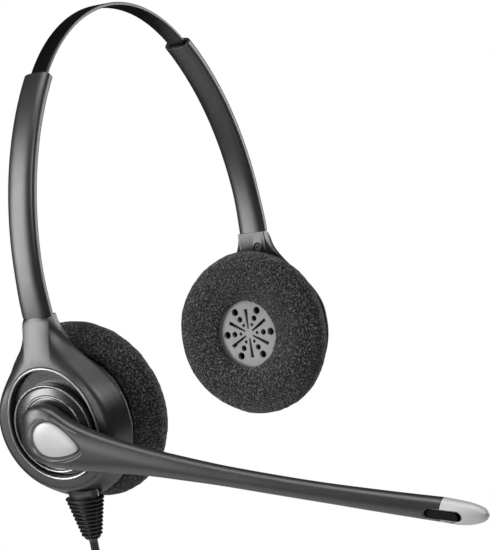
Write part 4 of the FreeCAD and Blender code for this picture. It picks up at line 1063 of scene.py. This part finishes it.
def swollen(mesh):
    """The blank puffed out by cloth pressure, with no point moved further than the cap."""
    pad = bpy.data.objects.new("foam_swell", mesh)
    bpy.context.scene.collection.objects.link(pad)
    held = pad.vertex_groups.new(name="held")
    held.add([vertex.index for vertex in mesh.vertices if grips_capsule(vertex.co)], 1.0, "REPLACE")
    cloth = pad.modifiers.new("swell", "CLOTH")
    cloth.settings.vertex_group_mass = "held"
    cloth.settings.use_pressure = True
    cloth.settings.uniform_pressure_force = FOAM_PRESSURE
    cloth.settings.effector_weights.gravity = 0.0
    cloth.settings.quality = 5
    cloth.collision_settings.use_collision = False
    for number in range(1, FOAM_FRAMES + 1):
        bpy.context.scene.frame_set(number)
    graph = bpy.context.evaluated_depsgraph_get()
    puffed = bpy.data.meshes.new_from_object(pad.evaluated_get(graph))
    cap = FOAM_CAP * FOAM_ENLARGED * MM
    for start, vertex in zip(mesh.vertices, puffed.vertices):
        move = vertex.co - start.co
        if move.length > cap:
            vertex.co = start.co + move * (cap / move.length)
    build = bmesh.new()
    build.from_mesh(puffed)
    free = [vertex for vertex in build.verts if not grips_capsule(vertex.co)]
    for turn in range(FOAM_SMOOTHINGS):
        bmesh.ops.smooth_vert(build, verts=free, factor=0.5, use_axis_x=True, use_axis_y=True,
                              use_axis_z=True)
    build.to_mesh(puffed)
    build.free()
    bpy.data.objects.remove(pad)
    bpy.context.scene.frame_set(1)
    return puffed


def roughened(mesh, seed, forward):
    """Foam is never quite even: broad soft dents, and torn cells a few tenths deep. Its outer
    part also sits a little forward."""
    shift = Vector((seed * 3.1, seed * 1.7, seed * 2.3))
    for vertex, normal in zip(mesh.vertices, [Vector(v.normal) for v in mesh.vertices]):
        place = vertex.co * 1000
        broad = noise.noise(place * 0.11 + shift) * 0.16
        fine = noise.fractal(place * 0.9 + shift, 0.9, 2.2, 3) * 0.10
        vertex.co += normal * (broad + fine) * MM
        outside = smooth_step(math.hypot(place.x, place.y), FOAM_FORWARD_FROM, FOAM_FORWARD_TO)
        vertex.co.x += forward * MM * outside


foam_base = foam_blank()
foam_base = swollen(foam_base)
foam_base.transform(Matrix.Scale(1 / FOAM_ENLARGED, 4))
for index, (name, side) in enumerate(SIDES.items()):
    mesh = foam_base.copy()
    body = {"R": "right_capsule", "L": "left_capsule"}[name]
    cushion = bpy.data.objects.new("ear_cushion_" + name, mesh)
    bpy.context.scene.collection.objects.link(cushion)
    grow = cushion.modifiers.new("fine", "SUBSURF")
    grow.levels = 1
    grow.render_levels = 1
    bpy.context.view_layer.update()
    fine = bpy.data.meshes.new_from_object(
        cushion.evaluated_get(bpy.context.evaluated_depsgraph_get()))
    cushion.modifiers.clear()
    cushion.data = fine
    roughened(fine, index + 1, side * FOAM_FORWARD[name])
    place = cup_frame(side)
    metres = Matrix.Translation(place.translation * MM) @ place.to_3x3().to_4x4()
    fine.transform(metres)
    if metres.determinant() < 0:
        fine.flip_normals()
    fine.materials.clear()
    fine.materials.append(FOAM)
    fine.shade_smooth()
    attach(cushion, body)
    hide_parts("foam_cushion_" + name)

# ---------------------------------------------------------------- floor and light
FLOOR_RADIUS = 0.24
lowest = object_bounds()[0].z
FLOOR_MIDDLE = (0.04, 0.04)
FLOOR_GAP = 0.0005
bpy.ops.mesh.primitive_circle_add(vertices=128, radius=FLOOR_RADIUS, fill_type="NGON",
                                  location=(*FLOOR_MIDDLE, lowest - FLOOR_GAP))
floor = bpy.context.object
floor.name = "floor"
floor_material, floor_tree, floor_shader = new_material("pale_floor")
floor_tree.links.new(ramp_node(floor_tree, noise_node(floor_tree, 3.0), [(0.3, 0.86), (0.7, 0.9)]),
                     floor_shader.inputs["Base Color"])
floor_shader.inputs["Roughness"].default_value = 0.8
floor.data.materials.append(floor_material)

# a white backdrop that lights the object only dimly, so that its edges stay dark
world = bpy.data.worlds.new("studio")
bpy.context.scene.world = world
world.use_nodes = True
sky = world.node_tree
ambient = sky.nodes["Background"]
ambient.inputs["Color"].default_value = (1, 1, 1, 1)
ambient.inputs["Strength"].default_value = 0.02
backdrop = sky.nodes.new("ShaderNodeBackground")
backdrop.inputs["Color"].default_value = (1, 1, 1, 1)
backdrop.inputs["Strength"].default_value = 1.0
path = sky.nodes.new("ShaderNodeLightPath")
choose = sky.nodes.new("ShaderNodeMixShader")
sky.links.new(path.outputs["Is Camera Ray"], choose.inputs["Fac"])
sky.links.new(ambient.outputs["Background"], choose.inputs[1])
sky.links.new(backdrop.outputs["Background"], choose.inputs[2])
sky.links.new(choose.outputs["Shader"], sky.nodes["World Output"].inputs["Surface"])

bpy.context.scene.view_settings.view_transform = "Standard"

# what the softboxes point at
CENTRE = Vector((0, 0.02, -0.08))
# each softbox: name, way from the object (to the picture's right, up, to the camera),
# distance, width, height and radiance
SOFTBOXES = [
    ("key_left", (-0.88, 0.24, 0.28), 0.9, 0.42, 0.85, 9.5),
    ("fill_front", (0.40, 0.50, 0.85), 1.1, 0.5, 0.5, 5.2),
    ("top", (0.05, 1.0, 0.22), 0.9, 0.7, 0.45, 5.0),
    ("rim_right", (0.9, 0.02, -0.43), 1.0, 0.26, 0.8, 8.5),
]
front = Vector((aim_back.x, aim_back.y, 0)).normalized()
for name, way, distance, width, height, radiance in SOFTBOXES:
    light = bpy.data.lights.new(name, "AREA")
    light.shape = "RECTANGLE"
    light.size = width
    light.size_y = height
    light.energy = radiance * math.pi * width * height
    lamp = bpy.data.objects.new(name, light)
    bpy.context.scene.collection.objects.link(lamp)
    direction = (aim_level * way[0] + Vector((0, 0, 1)) * way[1] + front * way[2]).normalized()
    lamp.location = CENTRE + direction * distance
    lamp.rotation_mode = "QUATERNION"
    lamp.rotation_quaternion = (-direction).to_track_quat("-Z", "Y")
